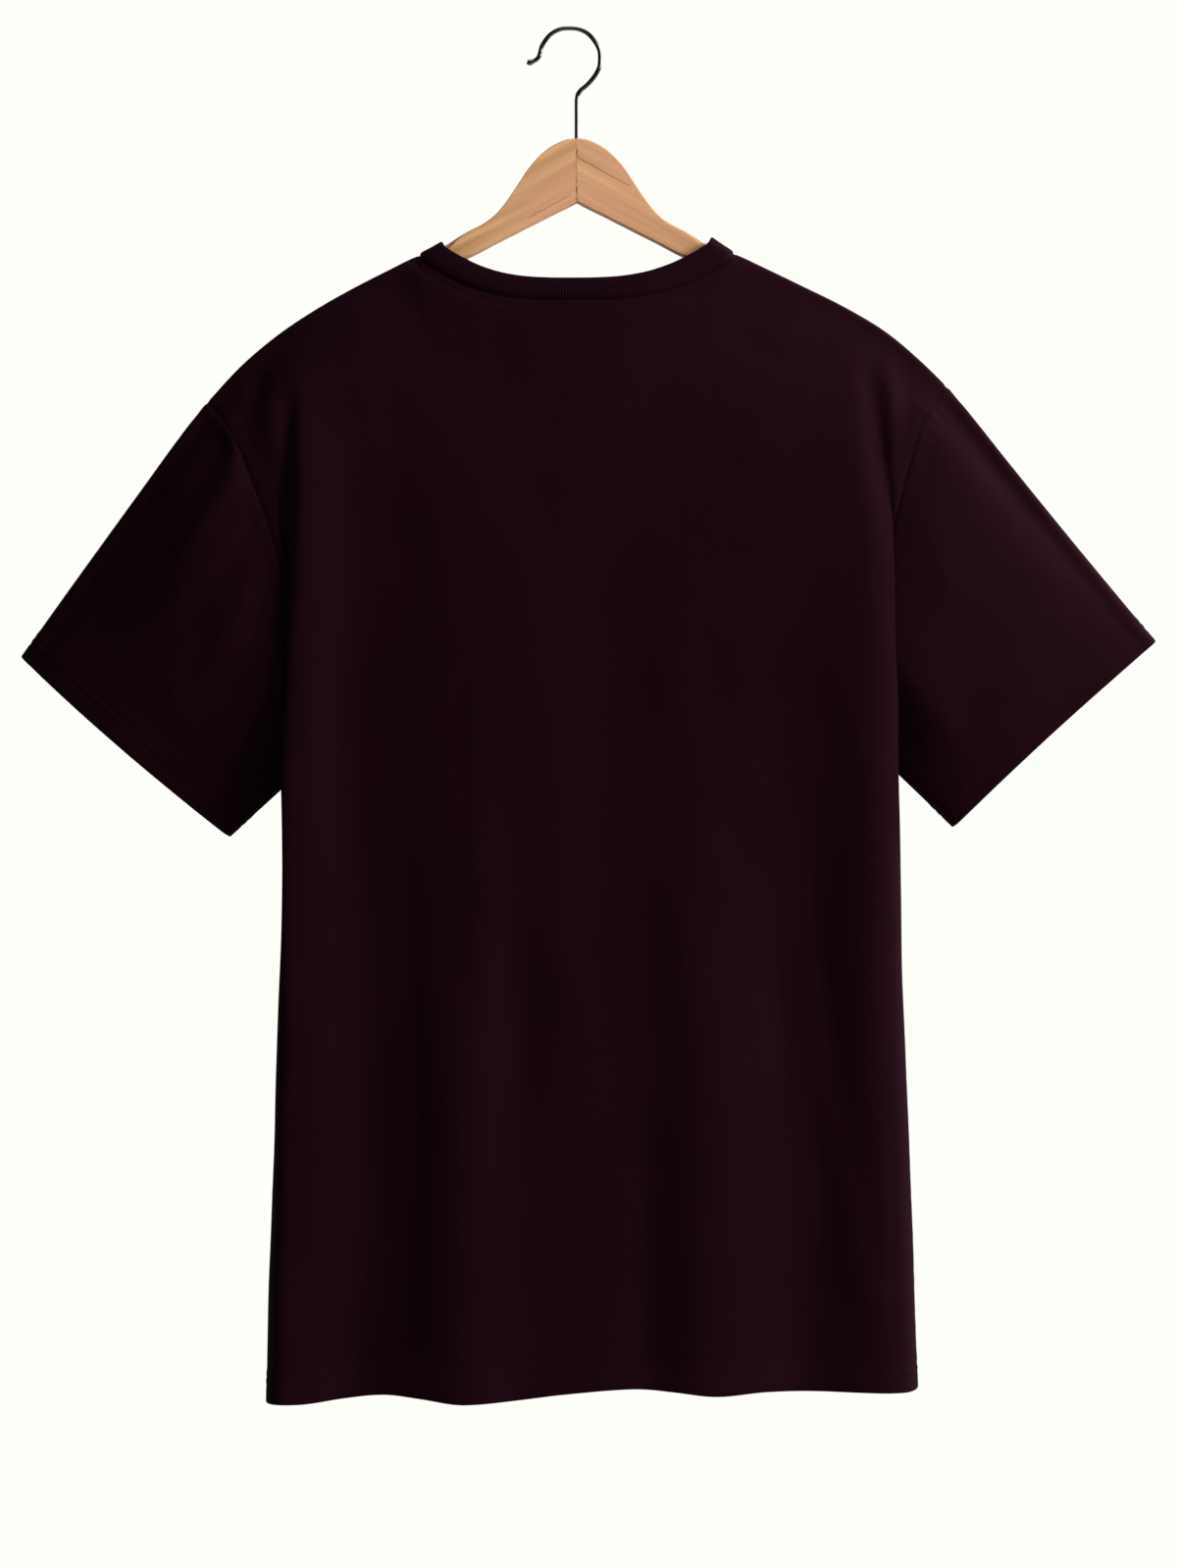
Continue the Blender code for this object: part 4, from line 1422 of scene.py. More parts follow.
@dataclass(frozen=True)
class JerseyFinish:
    """Fine cotton jersey, dyed almost black with a little wine red in it."""

    name: str = "jersey"
    deep: Colour = (0.0074, 0.0012, 0.0028, 1)
    light: Colour = (0.0112, 0.0021, 0.0046, 1)
    # the colour of the shade painted into the knit's pits
    pit: Colour = (0.0012, 0.0006, 0.0009, 1)
    wale: float = 0.00072
    course: float = 0.00058
    knit_depth: float = 0.00012
    knit: float = 0.32
    wrinkle_depth: float = 0.0011
    wrinkle: float = 0.06
    sheen: float = 0.0015
    gloss: float = 0.012

    def make(self, groups: Groups) -> bpy.types.Material:
        """Build the material.

        Args:
            groups: The shared node groups.

        Returns:
            The material.
        """
        made, n, shader = new_material(self.name)
        place = n.add("ShaderNodeTexCoord")
        sizes = {"Wale": self.wale, "Course": self.course}
        knit = n.group(groups.knit, Vector=place.outputs["UV"], **sizes).outputs
        lie = n.group(groups.lie, Vector=place.outputs["Object"]).outputs
        tone = n.math("MULTIPLY_ADD", n.spread(lie["Tone"], 0.3, 0.7), 0.25, 0.22)
        tone = n.math("MULTIPLY_ADD", lie["Fuzz"], 0.5, tone)
        colour = n.mix(tone, self.deep, self.light)
        knitted = n.raised(knit["Height"], self.knit_depth, self.knit)
        look = {
            # Painted shade: the knit's pits are darkened towards the pit colour.
            "Base Color": n.mix(n.math("MULTIPLY", knit["Pit"], 0.45), colour, self.pit),
            "Roughness": n.math("MULTIPLY_ADD", lie["Fuzz"], 0.14, 0.8),
            "Normal": n.raised(lie["Height"], self.wrinkle_depth, self.wrinkle, knitted),
            "Specular IOR Level": self.gloss,
            "Sheen Weight": self.sheen,
            "Sheen Roughness": 0.6,
        }
        n.fill(shader, look)
        return made


@dataclass(frozen=True)
class ThreadFinish:
    """Sewing thread, twisted, in the cloth's own colour."""

    name: str = "thread"
    pale: Colour = (0.0092, 0.0018, 0.0038, 1)
    dark: Colour = (0.0044, 0.0008, 0.0018, 1)

    def make(self) -> bpy.types.Material:
        """Build the material.

        Returns:
            The material.
        """
        made, n, shader = new_material(self.name)
        place = n.add("ShaderNodeTexCoord").outputs["Object"]
        ply = n.noise(place, 2600.0)
        look = {
            "Base Color": n.mix(ply, self.dark, self.pale),
            "Roughness": n.math("MULTIPLY_ADD", ply, 0.2, 0.6),
            "Normal": n.raised(ply, 0.00008, 0.6),
            "Specular IOR Level": 0.03,
        }
        n.fill(shader, look)
        return made


@dataclass(frozen=True)
class WoodFinish:
    """Pale smooth hardwood under a thin satin coat, with shade painted along its upper rounded edges.
    """

    name: str
    lines: tuple[tuple[float, float, float, float, float], ...]
    pale: Colour = (0.6, 0.342, 0.16, 1)
    warm: Colour = (0.35, 0.186, 0.058, 1)
    pink: Colour = (0.52, 0.262, 0.155, 1)
    dark: Colour = (0.13, 0.045, 0.018, 1)
    coat: float = 0.03
    # A thin band of painted shade on the rounded edges that face up: how far out it lies, its width
    # and its strength.
    edge_at: float = 0.00525
    edge_width: float = 0.0006
    painted_edge_shade: float = 0.75

    def make(self, groups: Groups) -> bpy.types.Material:
        """Build the material.

        Args:
            groups: The shared node groups.

        Returns:
            The material.
        """
        made, n, shader = new_material(self.name)
        place = n.add("ShaderNodeAttribute", attribute_name="grain").outputs["Vector"]
        grain = n.group(groups.grain, Vector=place)
        figure, fibre, pore = (grain.outputs[name] for name in ("Figure", "Fibre", "Pore"))
        share = n.math("MULTIPLY_ADD", fibre, 0.45, n.math("MULTIPLY_ADD", figure, 0.85, -0.2))
        colour = n.mix(n.math("MAXIMUM", share, 0.0), self.pale, self.warm)
        flush = n.spread(n.noise(n.scaled(place, (6, 34, 34)), 1.0), 0.42, 0.62)
        colour = n.mix(n.math("MULTIPLY", flush, 0.6), colour, self.pink)
        colour = n.mix(n.math("MULTIPLY", pore, 0.35), colour, self.dark)
        for sizes in self.lines:
            named = zip(("Across", "Lean", "Start", "End", "Width"), sizes)
            line = n.group(groups.line, Vector=place, **dict(named))
            colour = n.mix(n.math("MULTIPLY", line.outputs["Mask"], 0.75), colour, self.dark)
        # Painted shade: the rounded edges are darkened towards the dark colour, only where they face
        # up.
        deep = n.parts(n.add("ShaderNodeTexCoord").outputs["Object"])[1]
        off = n.math("ABSOLUTE", n.math("SUBTRACT", n.math("ABSOLUTE", deep), self.edge_at))
        edge = n.spread(off, self.edge_width, 0.4 * self.edge_width)
        above = n.parts(n.add("ShaderNodeNewGeometry").outputs["Normal"])[2]
        edge = n.math("MULTIPLY", edge, n.spread(above, 0.0, 0.2))
        colour = n.mix(n.math("MULTIPLY", edge, self.painted_edge_shade), colour, self.dark)
        look = {
            "Base Color": colour,
            "Roughness": n.math("MULTIPLY_ADD", fibre, 0.16, 0.5),
            "Normal": n.raised(n.math("MULTIPLY_ADD", pore, -1.0, fibre), 0.00012, 0.35),
            "Coat Weight": self.coat,
            "Coat Roughness": 0.45,
            "Specular IOR Level": 0.25,
        }
        n.fill(shader, look)
        return made


@dataclass(frozen=True)
class GlueFinish:
    """The dark glue line between the hanger's halves."""

    name: str = "glue_line"
    pale: Colour = (0.44, 0.235, 0.11, 1)
    dark: Colour = (0.05, 0.018, 0.01, 1)
    blur: float = 0.25
    dashes: tuple[tuple[float, float, float], ...] = (
        (-80.3, 2.2, 0.85),
        (-90.2, 0.2, 0.5),
        (-94.2, 0.2, 0.5),
        (-96.7, 0.3, 0.4),
        (-99.2, 0.4, 0.85),
        (-104.8, 2.3, 0.9),
        (-111.2, 1.4, 0.7),
    )

    def make(self) -> bpy.types.Material:
        """Build the material.

        Returns:
            The material.
        """
        made, n, shader = new_material(self.name)
        place = n.add("ShaderNodeTexCoord").outputs["Object"]
        patch = n.math("MULTIPLY", n.spread(n.noise(place, 330.0), 0.44, 0.58), 0.25)
        for middle, half, dark in self.dashes:
            off = n.math("ABSOLUTE", n.math("SUBTRACT", n.parts(place)[2], middle * MM))
            inside = n.spread(off, (half + self.blur) * MM, half * MM)
            patch = n.math("MAXIMUM", patch, n.math("MULTIPLY", inside, dark))
        rough = n.math("MULTIPLY_ADD", patch, 0.2, 0.5)
        n.fill(shader, {"Base Color": n.mix(patch, self.pale, self.dark), "Roughness": rough})
        return made


@dataclass(frozen=True)
class WireFinish:
    """Steel wire under glossy black paint."""

    name: str = "black_wire"
    deep: Colour = (0.0012, 0.0012, 0.0016, 1)
    light: Colour = (0.004, 0.0038, 0.0044, 1)

    def make(self) -> bpy.types.Material:
        """Build the material.

        Returns:
            The material.
        """
        made, n, shader = new_material(self.name)
        place = n.add("ShaderNodeTexCoord").outputs["Object"]
        cloud = n.noise(place, 160.0, 3.0, 0.55)
        specks = n.spread(n.noise(place, 1900.0, 2.0, 0.6), 0.62, 0.8)
        rough = n.math("MULTIPLY_ADD", cloud, 0.1, 0.22)
        look = {
            "Base Color": n.mix(cloud, self.deep, self.light),
            "Roughness": n.math("MULTIPLY_ADD", specks, 0.08, rough),
            "Normal": n.raised(cloud, 0.00001, 0.05),
            "Specular IOR Level": 0.5,
            "Coat Weight": 0.7,
            "Coat Roughness": 0.03,
        }
        n.fill(shader, look)
        return made


@dataclass
class Seams:
    """The lines where pieces meet, with one normal for each point of them."""

    found: dict[tuple[float, ...], np.ndarray] = field(default_factory=dict)

    def keys(self, points: np.ndarray) -> list[tuple[float, ...]]:
        """The places of points, as keys."""
        return [tuple(p) for p in (np.round(points, 2) + 0.0).tolist()]

    def note(self, points: np.ndarray, normals: np.ndarray) -> None:
        """Add one piece's normals along its border.

        Args:
            points: The border's points.
            normals: The piece's normals there.
        """
        for key, normal in zip(self.keys(points), normals):
            self.found[key] = self.found.get(key, np.zeros(3)) + normal

    def share(self, points: np.ndarray) -> np.ndarray:
        """The common normals along a border."""
        return unit(np.array([self.found[key] for key in self.keys(points)]))


@dataclass
class TShirt:
    """The sewn garment: two panels, two sleeves and the neck rib."""

    form: HungForm = field(default_factory=HungForm)
    creases: Creases = field(default_factory=Creases)
    seams: Seams = field(default_factory=Seams)
    stitches: StitchRow = field(default_factory=StitchRow)
    wall: float = 1.0
    fine: float = 6.0
    hem_rows: tuple[float, float] = (10.0, 15.0)
    hem_deep: float = 19.0
    hem_extra: float = 0.8
    ribs: int = 276
    rib_wall: float = 2.1
    rib_raise: float = 0.17
    edge_band: float = 1.1
    seam_raise: float = 0.24
    seam_sunk: float = 0.52
    neck_row: float = 5.2
    hem_raise: float = 0.28
    row_sunk: float = 0.3
    rope: float = 0.07
    rope_pitch: float = 8.3
    pucker: float = 0.16
    pucker_reach: float = 5.0
    rib_points: int = 6

    def columns(self) -> np.ndarray:
        """The columns of a panel, from the left side to the right one."""
        runs = ((EDGE_COLUMN, FOLD_COLUMN, 30), (FOLD_COLUMN, 1, 30), (1, 0, 36))
        half = np.concatenate([np.linspace(*run, endpoint=False) for run in runs])
        return np.concatenate([half, [0], -half[::-1]])

    def rows(self) -> np.ndarray:
        """The rows of a panel, closer at the seams and at the hem."""
        top, hem = np.arange(0, 2, 0.2), np.linspace(30.8, LAST_ROW, 25)
        return np.concatenate([top, np.arange(2, hem[0], 1 / self.fine), hem])

    def seam_relief(self, d: np.ndarray) -> np.ndarray:
        """How far cloth stands out beside a pressed seam."""
        return self.seam_raise * bump(d - 4.2, 3.0) - self.seam_sunk * bump(d, 1.15)

    def hem_relief(self, d: np.ndarray, along: np.ndarray) -> np.ndarray:
        """Shape a hem on its outside.

        Args:
            d: Distances from the edge.
            along: Distances along it.

        Returns:
            How far the cloth stands out.
        """
        first, second = self.hem_rows
        middle = (first + second) / 2
        rope = np.sin((along + 0.7 * d) * 2 * math.pi / self.rope_pitch) * bump(d - middle, 5.0)
        rows = bump(d - first, 1.0) + bump(d - second, 1.0)
        band = step((self.hem_deep + 3 - d) / 5)
        raised = self.hem_raise * band + self.rope * rope - self.row_sunk * rows
        return raised + 0.12 * bump(d - middle, 1.5)

    def puckers(self, d: np.ndarray, along: np.ndarray, salt: int) -> np.ndarray:
        """Gather cloth slightly along a seam.

        Args:
            d: Distances from the seam.
            along: Distances along it.
            salt: A number of the seam's own.

        Returns:
            How far the cloth stands out.
        """
        rng = np.random.default_rng(salt)
        a, b = rng.uniform(8, 11), rng.uniform(13, 19)
        wave = np.sin(along * 2 * math.pi / a) + np.sin(along * 2 * math.pi / b + 1.3)
        reach = d / self.pucker_reach
        return self.pucker * wave * reach * np.exp(1 - reach) * step(d / 2)

    def panel(self, face: Face) -> Cloth:
        """Shape the back or the front.

        Args:
            face: Which of them.

        Returns:
            The piece, still without its wall.
        """
        name = "back_panel" if face is Face.BACK else "front_panel"
        columns = self.columns()
        grid = self.form.panel(face, columns, self.rows())
        if face is Face.BACK:
            near = step((2.96 - abs(columns)) / 0.3) * step(self.rows() / 3)[:, None]
            pushed = crease_height(grid[..., 0], grid[..., 2], self.creases.back_sides)
            grid[..., 1] += pushed * near
        outward = np.broadcast_to([0, face.value, 0], grid.shape)
        piece = Cloth(name, grid, False, outward)
        x, z = grid[..., 0], grid[..., 2]
        small = self.creases.back if face is Face.BACK else self.creases.front
        d = piece.seam_distance()
        neck = np.broadcast_to(step((1.06 - abs(columns)) / 0.1), d.shape)
        flat = step((2.9 - abs(columns)) / 0.4)
        folds = crease_height(x, z, small) * (0.25 + 0.75 * flat)
        folds = folds + self.creases.lie(x, z, 1 if face is Face.BACK else 2)
        side = np.minimum(piece.across, piece.across[:, -1:] - piece.across)
        seam = self.seam_relief(d)
        top = seam - self.row_sunk * bump(piece.down - self.neck_row, 0.9)
        seam = seam + (top - seam) * neck
        piece.height = folds * step(d / 16) + seam
        piece.height += self.puckers(side, piece.down, 5 + face.value) * step(piece.down / 12)
        piece.height += self.hem_relief(piece.up, piece.across) * step(side / 6)
        return piece

    def sleeve(self, side: Side, back: Cloth, front: Cloth) -> Cloth:
        """Shape a sleeve.

        Args:
            side: Which of them.
            back: The back panel.
            front: The front panel.

        Returns:
            The piece, still without its wall.
        """
        rows = self.rows()
        last = int(np.argmin(abs(rows - self.form.underarm_row))) + 1
        col = 0 if side is Side.LEFT else -1
        ring = np.concatenate(
            [back.grid[:last, col], front.grid[:last, col][-2:0:-1]],
        )
        shares = np.concatenate([np.linspace(0, 0.88, 58, endpoint=False), np.linspace(0.88, 1, 21)])
        shares = np.sort(np.concatenate([shares, [0.004, 0.01]]))
        grid = self.form.sleeve(side, ring, shares)
        middle = grid.mean(axis=1, keepdims=True)
        piece = Cloth(f"{side.name.lower()}_sleeve", grid, True, grid - middle)
        x, z = grid[..., 0], grid[..., 2]
        half = len(ring) // 2
        round_share = np.concatenate(
            [np.arange(half + 1) / half, 1 - np.arange(1, len(ring) - half) / half]
        )
        inside = step(round_share / 0.12) * step((1 - round_share) / 0.12)
        is_back = np.arange(len(ring)) <= half
        back_folds, front_folds = (
            crease_height(x, z, self.creases.sleeve(side, face)) for face in Face
        )
        folds = np.where(is_back, back_folds, front_folds)
        salt = 3 if side is Side.LEFT else 4
        lie = np.where(is_back, self.creases.lie(x, z, salt), self.creases.lie(x, z, salt + 9))
        d = piece.seam_distance()
        piece.height = (folds + lie) * inside * step(d / 12) + self.seam_relief(d)
        around = piece.across[:, :-1]
        top = np.minimum(around, piece.across[:, -1:] - around)
        band = bump(top - 6, 4.5) - 0.5 * bump(top - 15, 4.0)
        piece.height += self.edge_band * band * step(d / 20)
        piece.height += self.puckers(d, around, 20 + salt)
        piece.height += self.hem_relief(piece.up, around)
        return piece

    def rib_ring(self) -> list[tuple[Face, float]]:
        """Space the points evenly round the neck.

        Returns:
            The face and the column of each point.
        """
        across = np.linspace(1, -1, 601)
        ring = [(Face.BACK, c) for c in across] + [(Face.FRONT, c) for c in across[-2:0:-1]]
        line = self.form.rib(ring, np.array([0.5]))[0]
        along = lengths(np.concatenate([line, line[:1]]))
        spots = np.linspace(0, along[-1], self.ribs * self.rib_points, endpoint=False)
        at = np.interp(spots, along, np.arange(len(along)))
        turn = len(across) - 1
        return [
            (Face.BACK, 1 - 2 * a / turn) if a <= turn else (Face.FRONT, -1 + 2 * (a - turn) / turn)
            for a in at
        ]

    def rib(self) -> Cloth:
        """Shape the neck rib.

        Returns:
            The piece, still without its wall.
        """
        ring = self.rib_ring()
        shares = np.concatenate([[0, 0.03, 0.07], np.linspace(0.13, 0.93, 9)])
        grid = self.form.rib(ring, shares)
        outward = np.zeros_like(grid)
        outward[..., 1] = [face.value for face, _ in ring]
        piece = Cloth("neck_rib", grid, True, outward)
        turn = np.arange(len(ring)) / self.rib_points * 2 * math.pi
        piece.height = self.rib_raise * np.cos(turn) * step(piece.down / 2.5)
        piece.height += 0.25 * bump(piece.down - 3.5, 2.5) - 0.62 * bump(piece.down, 1.2)
        return piece

    def meet(self, pieces: list[Cloth]) -> None:
        """Give pieces that share a seam the same normals along it.

        Args:
            pieces: The back, the front, the two sleeves and the rib.
        """
        back, front, left, right, rib = pieces
        ring = self.rib_ring()
        at = np.array([column for _, column in ring])
        inner = abs(self.columns()) < NECK_COLUMN
        spots = self.columns()[inner]
        order = np.argsort(spots)
        panels = [
            (panel, np.array([found is face for found, _ in ring]))
            for panel, face in ((back, Face.BACK), (front, Face.FRONT))
        ]
        for panel, mine in panels:
            rising = np.argsort(at[mine])
            extra = between(spots, at[mine][rising], rib.normals[0][mine][rising])
            self.seams.note(panel.grid[0, inner], extra)
        borders = (np.s_[0], np.s_[1:, 0], np.s_[1:, -1])
        edges = [(panel, border) for panel in (back, front) for border in borders]
        for piece, border in [*edges, (left, np.s_[0, 1:]), (right, np.s_[0, 1:])]:
            self.seams.note(piece.grid[border], piece.normals[border])
        for piece, border in [*edges, (left, np.s_[0]), (right, np.s_[0])]:
            piece.normals[border] = self.seams.share(piece.grid[border])
        for panel, mine in panels:
            common = between(at[mine], spots[order], panel.normals[0, inner][order])
            rib.normals[0, mine] = unit(common)

    def dress(self, piece: Cloth, finish: bpy.types.Material) -> bpy.types.Object:
        """Write one piece of jersey, thicker where its hem is turned up inside.

        Args:
            piece: The piece.
            finish: The jersey.

        Returns:
            The object.
        """
        half = np.full(piece.grid.shape[:2], self.wall / 2)
        turned_up = step((self.hem_deep - piece.up) / 1.2)
        made = piece.build(half, half + self.hem_extra * turned_up, finish)
        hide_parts(piece.name)
        LOG.info(
            "%s: area %.4f m2, %.0f mm down, %.0f mm across at the edge",
            piece.name,
            piece.area(),
            piece.down[-1].mean(),
            piece.across[-1, -1],
        )
        return made

    def make(self, groups: Groups) -> None:
        """Build and dress the whole garment.

        Args:
            groups: The shared node groups.
        """
        jersey = JerseyFinish().make(groups)
        ribbing = JerseyFinish(
            name="ribbing",
            light=(0.0106, 0.0023, 0.0048, 1),
            wale=0.0009,
            course=0.00066,
            wrinkle=0.04,
        ).make(groups)
        thread = ThreadFinish().make()
        back, front = self.panel(Face.BACK), self.panel(Face.FRONT)
        left, right = (self.sleeve(side, back, front) for side in Side)
        rib = self.rib()
        self.meet([back, front, left, right, rib])
        neck = abs(self.columns()) < NECK_COLUMN
        for piece, flat, area in (
            (back, (0.56, 0.76), 0.345),
            (front, (0.56, 0.75), 0.33),
        ):
            made = self.dress(piece, jersey)
            hem = [piece.line_at(up) for up in self.hem_rows]
            top = tuple(a[neck] for a in piece.line_at(self.neck_row, low=False))
            word = piece.name.split("_")[0]
            sewn = [
                self.stitches.sew(f"{word}_hem_stitches", hem, False, thread),
                self.stitches.sew(f"{word}_neck_stitches", [top], False, thread),
            ]
        for piece in (left, right):
            made = self.dress(piece, jersey)
            rings = [piece.line_at(up) for up in self.hem_rows]
            word = piece.name.split("_")[0]
            sewn = self.stitches.sew(f"{word}_cuff_stitches", rings, True, thread)
        half = np.full(rib.grid.shape[:2], self.rib_wall / 2)
        half[0] = self.wall / 2
        half[1] = self.rib_wall / 2 * 0.8
        made = rib.build(half, half, ribbing)
        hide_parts("neck_rib")
        LOG.info("neck_rib: area %.4f m2, round %.0f mm", rib.area(), rib.across[0, -1])


# A half of the hanger: its top and bottom lines, from the joint to where the shirt begins.
ARM = table(
    "top_x top_z low_x low_z",
    (0.15, -71.2, 0.15, -112.4),
    (5.5, -71.6, 5.0, -115.0),
    (12.0, -74.0, 11.0, -118.0),
    (19.5, -78.4, 18.0, -121.4),
    (27.0, -85.4, 25.5, -125.3),
    (33.0, -93.0, 31.0, -128.0),
    (39.0, -102.2, 36.0, -130.6),
    (46.5, -113.2, 41.5, -133.4),
    (53.5, -121.2, 47.5, -136.4),
    (61.0, -126.8, 54.5, -140.0),
    (70.0, -131.4, 63.0, -144.6),
    (79.0, -136.6, 72.4, -149.4),
)

# The wire's middle line, from the hook's tip down to the end of its shank, measured from
# the origin.
HOOK = table(
    "x z",
    (26.9, -21.2),
    (24.3, -20.4),
    (21.8, -19.2),
    (20.0, -17.2),
    (19.1, -14.4),
    (17.4, -9.2),
    (12.6, -2.9),
    (6.2, 0.7),
    (0.0, 1.45),
    (-6.3, 0.8),
    (-12.2, -2.2),
    (-16.8, -7.5),
    (-19.6, -13.4),
    (-20.0, -18.4),
    (-19.3, -24.5),
    (-16.1, -30.3),
    (-11.6, -35.5),
    (-7.0, -39.5),
    (-5.1, -43.4),
    (-4.8, -49.0),
    (-4.8, -100.0),
)


@dataclass
class Hanger:
    """The wooden hanger: two halves glued at the middle, and a wire hook."""

    form: HungForm
    arm: Columns = held(ARM)
    stations: tuple[float, ...] = (90, 102, 118, 136, 154, 172, 188, 202, 213, 221)
    half: float = 5.9
    rounded: float = 5.5
    bare_rounded: float = 0.9
    flat: float = 1.6
    height: tuple[float, float] = (14.6, 11.0)
    clear: float = 2.05
    tip: float = 4.6
    wire: float = 1.45
    bead: float = 2.0
    bore: float = 1.75
    drill_deep: float = 60.0
    hook: Columns = held(HOOK)
    worn_from: tuple[float, float] = (74.0, 14.0)
    end_turns: tuple[float, ...] = (25, 45, 62, 78)
    sharp: float = 40.0
    grain_turn: float = -29.0
    glue_points: int = 260
    glue_half: float = 0.4
    glue_out: float = 0.035
    glue_deep: float = 0.7
    tooth: float = 3.1
    tooth_out: float = 0.22
    bead_reach: float = 1.1
    wire_sides: int = 20

    def sections(self, side: Side) -> tuple[np.ndarray, np.ndarray]:
        """Work out the top and bottom lines of a half.

        Args:
            side: The half.

        Returns:
            The points of both lines, from the joint to the end.
        """
        arm = self.arm
        tops, lows = (
            np.stack([side.value * arm[f"{end}_x"], 0 * arm[f"{end}_x"], arm[f"{end}_z"]], axis=-1)
            for end in ("top", "low")
        )
        xs = np.array(self.stations, float)
        points, inward = self.form.shoulder_points(side, xs)
        share = ((xs - xs[0]) / (xs[-1] - xs[0]))[:, None]
        tall = self.height[0] + (self.height[1] - self.height[0]) * share
        top = points + inward * self.clear
        tops, lows = np.concatenate([tops, top]), np.concatenate([lows, top + inward * tall])
        rows = np.arange(len(tops))
        fine = np.linspace(0, rows[-1], 4 * len(rows))
        return smooth(fine, rows, tops), smooth(fine, rows, lows)

    def ring(self, top: np.ndarray, low: np.ndarray) -> np.ndarray:
        """Round one section of the wood, more so under the shirt.

        Args:
            top: Its highest point.
            low: Its lowest point.

        Returns:
            Its outline's points.
        """
        up = top - low
        tall = np.linalg.norm(up)
        up = up / tall
        first, over = self.worn_from
        share = step((abs(top[0]) - first) / over)
        worn = self.bare_rounded + (self.rounded - self.bare_rounded) * share
        corner = min(float(worn), (tall - self.flat) / 2)
        points = []
        inner = tall / 2 - corner
        inner = inner - min(0.5, 0.3 * inner)
        for quarter, (wide, high) in enumerate(((1, 1), (-1, 1), (-1, -1), (1, -1))):
            spots = []
            for turn in np.radians(90 * quarter + np.linspace(0, 90, 9)):
                y = wide * (self.half - corner) + corner * math.cos(turn)
                spots.append((y, high * (tall / 2 - corner) + corner * math.sin(turn)))
            spots.insert(0 if quarter in (0, 2) else 9, (wide * self.half, high * inner))
            points += [(top + low) / 2 + up * z + np.array([0, y, 0]) for y, z in spots]
        return np.array(points)

    def make_half(self, side: Side, finish: bpy.types.Material) -> None:
        """Build one wooden half.

        Args:
            side: The half.
            finish: The wood.
        """
        rings = [self.ring(top, low) for top, low in zip(*self.sections(side))]
        last = rings[-1]
        middle = last.mean(axis=0)
        forward = unit(middle - rings[-2].mean(axis=0))
        for turn in np.radians(self.end_turns):
            shrunk = middle + (last - middle) * (0.35 + 0.65 * math.cos(turn))
            rings.append(shrunk + forward * self.tip * math.sin(turn))
        faces, caps = tube_faces(len(rings), len(last))
        name = f"hanger_arm_{side.name.lower()}"
        points, turned = np.concatenate(rings), side is Side.LEFT
        made = write_mesh(name + "_wood", points, faces, caps, None, turned, self.sharp)
        self.drill(made)
        self.set_grain(made, side)
        made.data.materials.append(finish)
        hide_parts(name)

    def drill(self, wood: bpy.types.Object) -> None:
        """Bore the hole that the hook's shank goes into.

        Args:
            wood: The half.
        """
        bpy.ops.mesh.primitive_cylinder_add(
            vertices=40,
            radius=self.bore * MM,
            depth=self.drill_deep * MM,
            location=(HANGER_X * MM, 0, self.arm["top_z"][0] * MM),
        )
        cutter = bpy.context.object
        cut = wood.modifiers.new("bore", "BOOLEAN")
        cut.operation, cut.solver, cut.object = "DIFFERENCE", "EXACT", cutter
        shown = wood.evaluated_get(bpy.context.evaluated_depsgraph_get())
        old, wood.data = wood.data, bpy.data.meshes.new_from_object(shown)
        wood.modifiers.clear()
        bpy.data.meshes.remove(old)
        bpy.data.objects.remove(cutter)
        wood.data.shade_smooth()
        wood.data.set_sharp_from_angle(angle=math.radians(self.sharp))

    def set_grain(self, wood: bpy.types.Object, side: Side) -> None:
        """Store where each point lies along and across the grain.

        Args:
            wood: The half.
            side: Which half it is.
        """
        turn = math.radians(self.grain_turn)
        points = np.array([v.co for v in wood.data.vertices])
        out = side.value * (points[:, 0] - HANGER_X * MM)
        along = out * math.cos(turn) + points[:, 2] * math.sin(turn)
        across = points[:, 2] * math.cos(turn) - out * math.sin(turn)
        placed = np.stack([along, across, points[:, 1] + 0.3 * side.value], axis=-1)
        grain = wood.data.attributes.new("grain", "FLOAT_VECTOR", "POINT")
        grain.data.foreach_set("vector", placed.ravel())

    def make_joint(self, finish: bpy.types.Material) -> None:
        """Build the toothed glue line, flush with the wood.

        Args:
            finish: The glue.
        """
        top, low = (np.array([0, 0, self.arm[f"{end}_z"][0]]) for end in ("top", "low"))
        ring = self.ring(top, low)
        ring = np.concatenate([ring, ring[:1]])
        along = lengths(ring)
        spots = np.linspace(0, along[-1], self.glue_points, endpoint=False)
        line = between(spots, along, ring)
        out = unit(line - (top + low) / 2)
        teeth = abs((line[:, 2] / self.tooth) % 1 - 0.5) * 4 - 1
        edges = [(1, self.glue_out), (-1, self.glue_out), (-1, -self.glue_deep), (1, -self.glue_deep)]
        rings = []
        for way, deep in edges:
            spot = line + out * deep
            spot[:, 0] += teeth * self.tooth_out + way * self.glue_half
            rings.append(spot)
        points = np.concatenate(rings)
        _, faces = grid_faces(len(edges), len(line), len(edges), len(line))
        turned = Cloth.signed_volume(points, faces) < 0
        made = write_mesh("hanger_glue_line", points, faces, turned=turned)
        made.data.materials.append(finish)

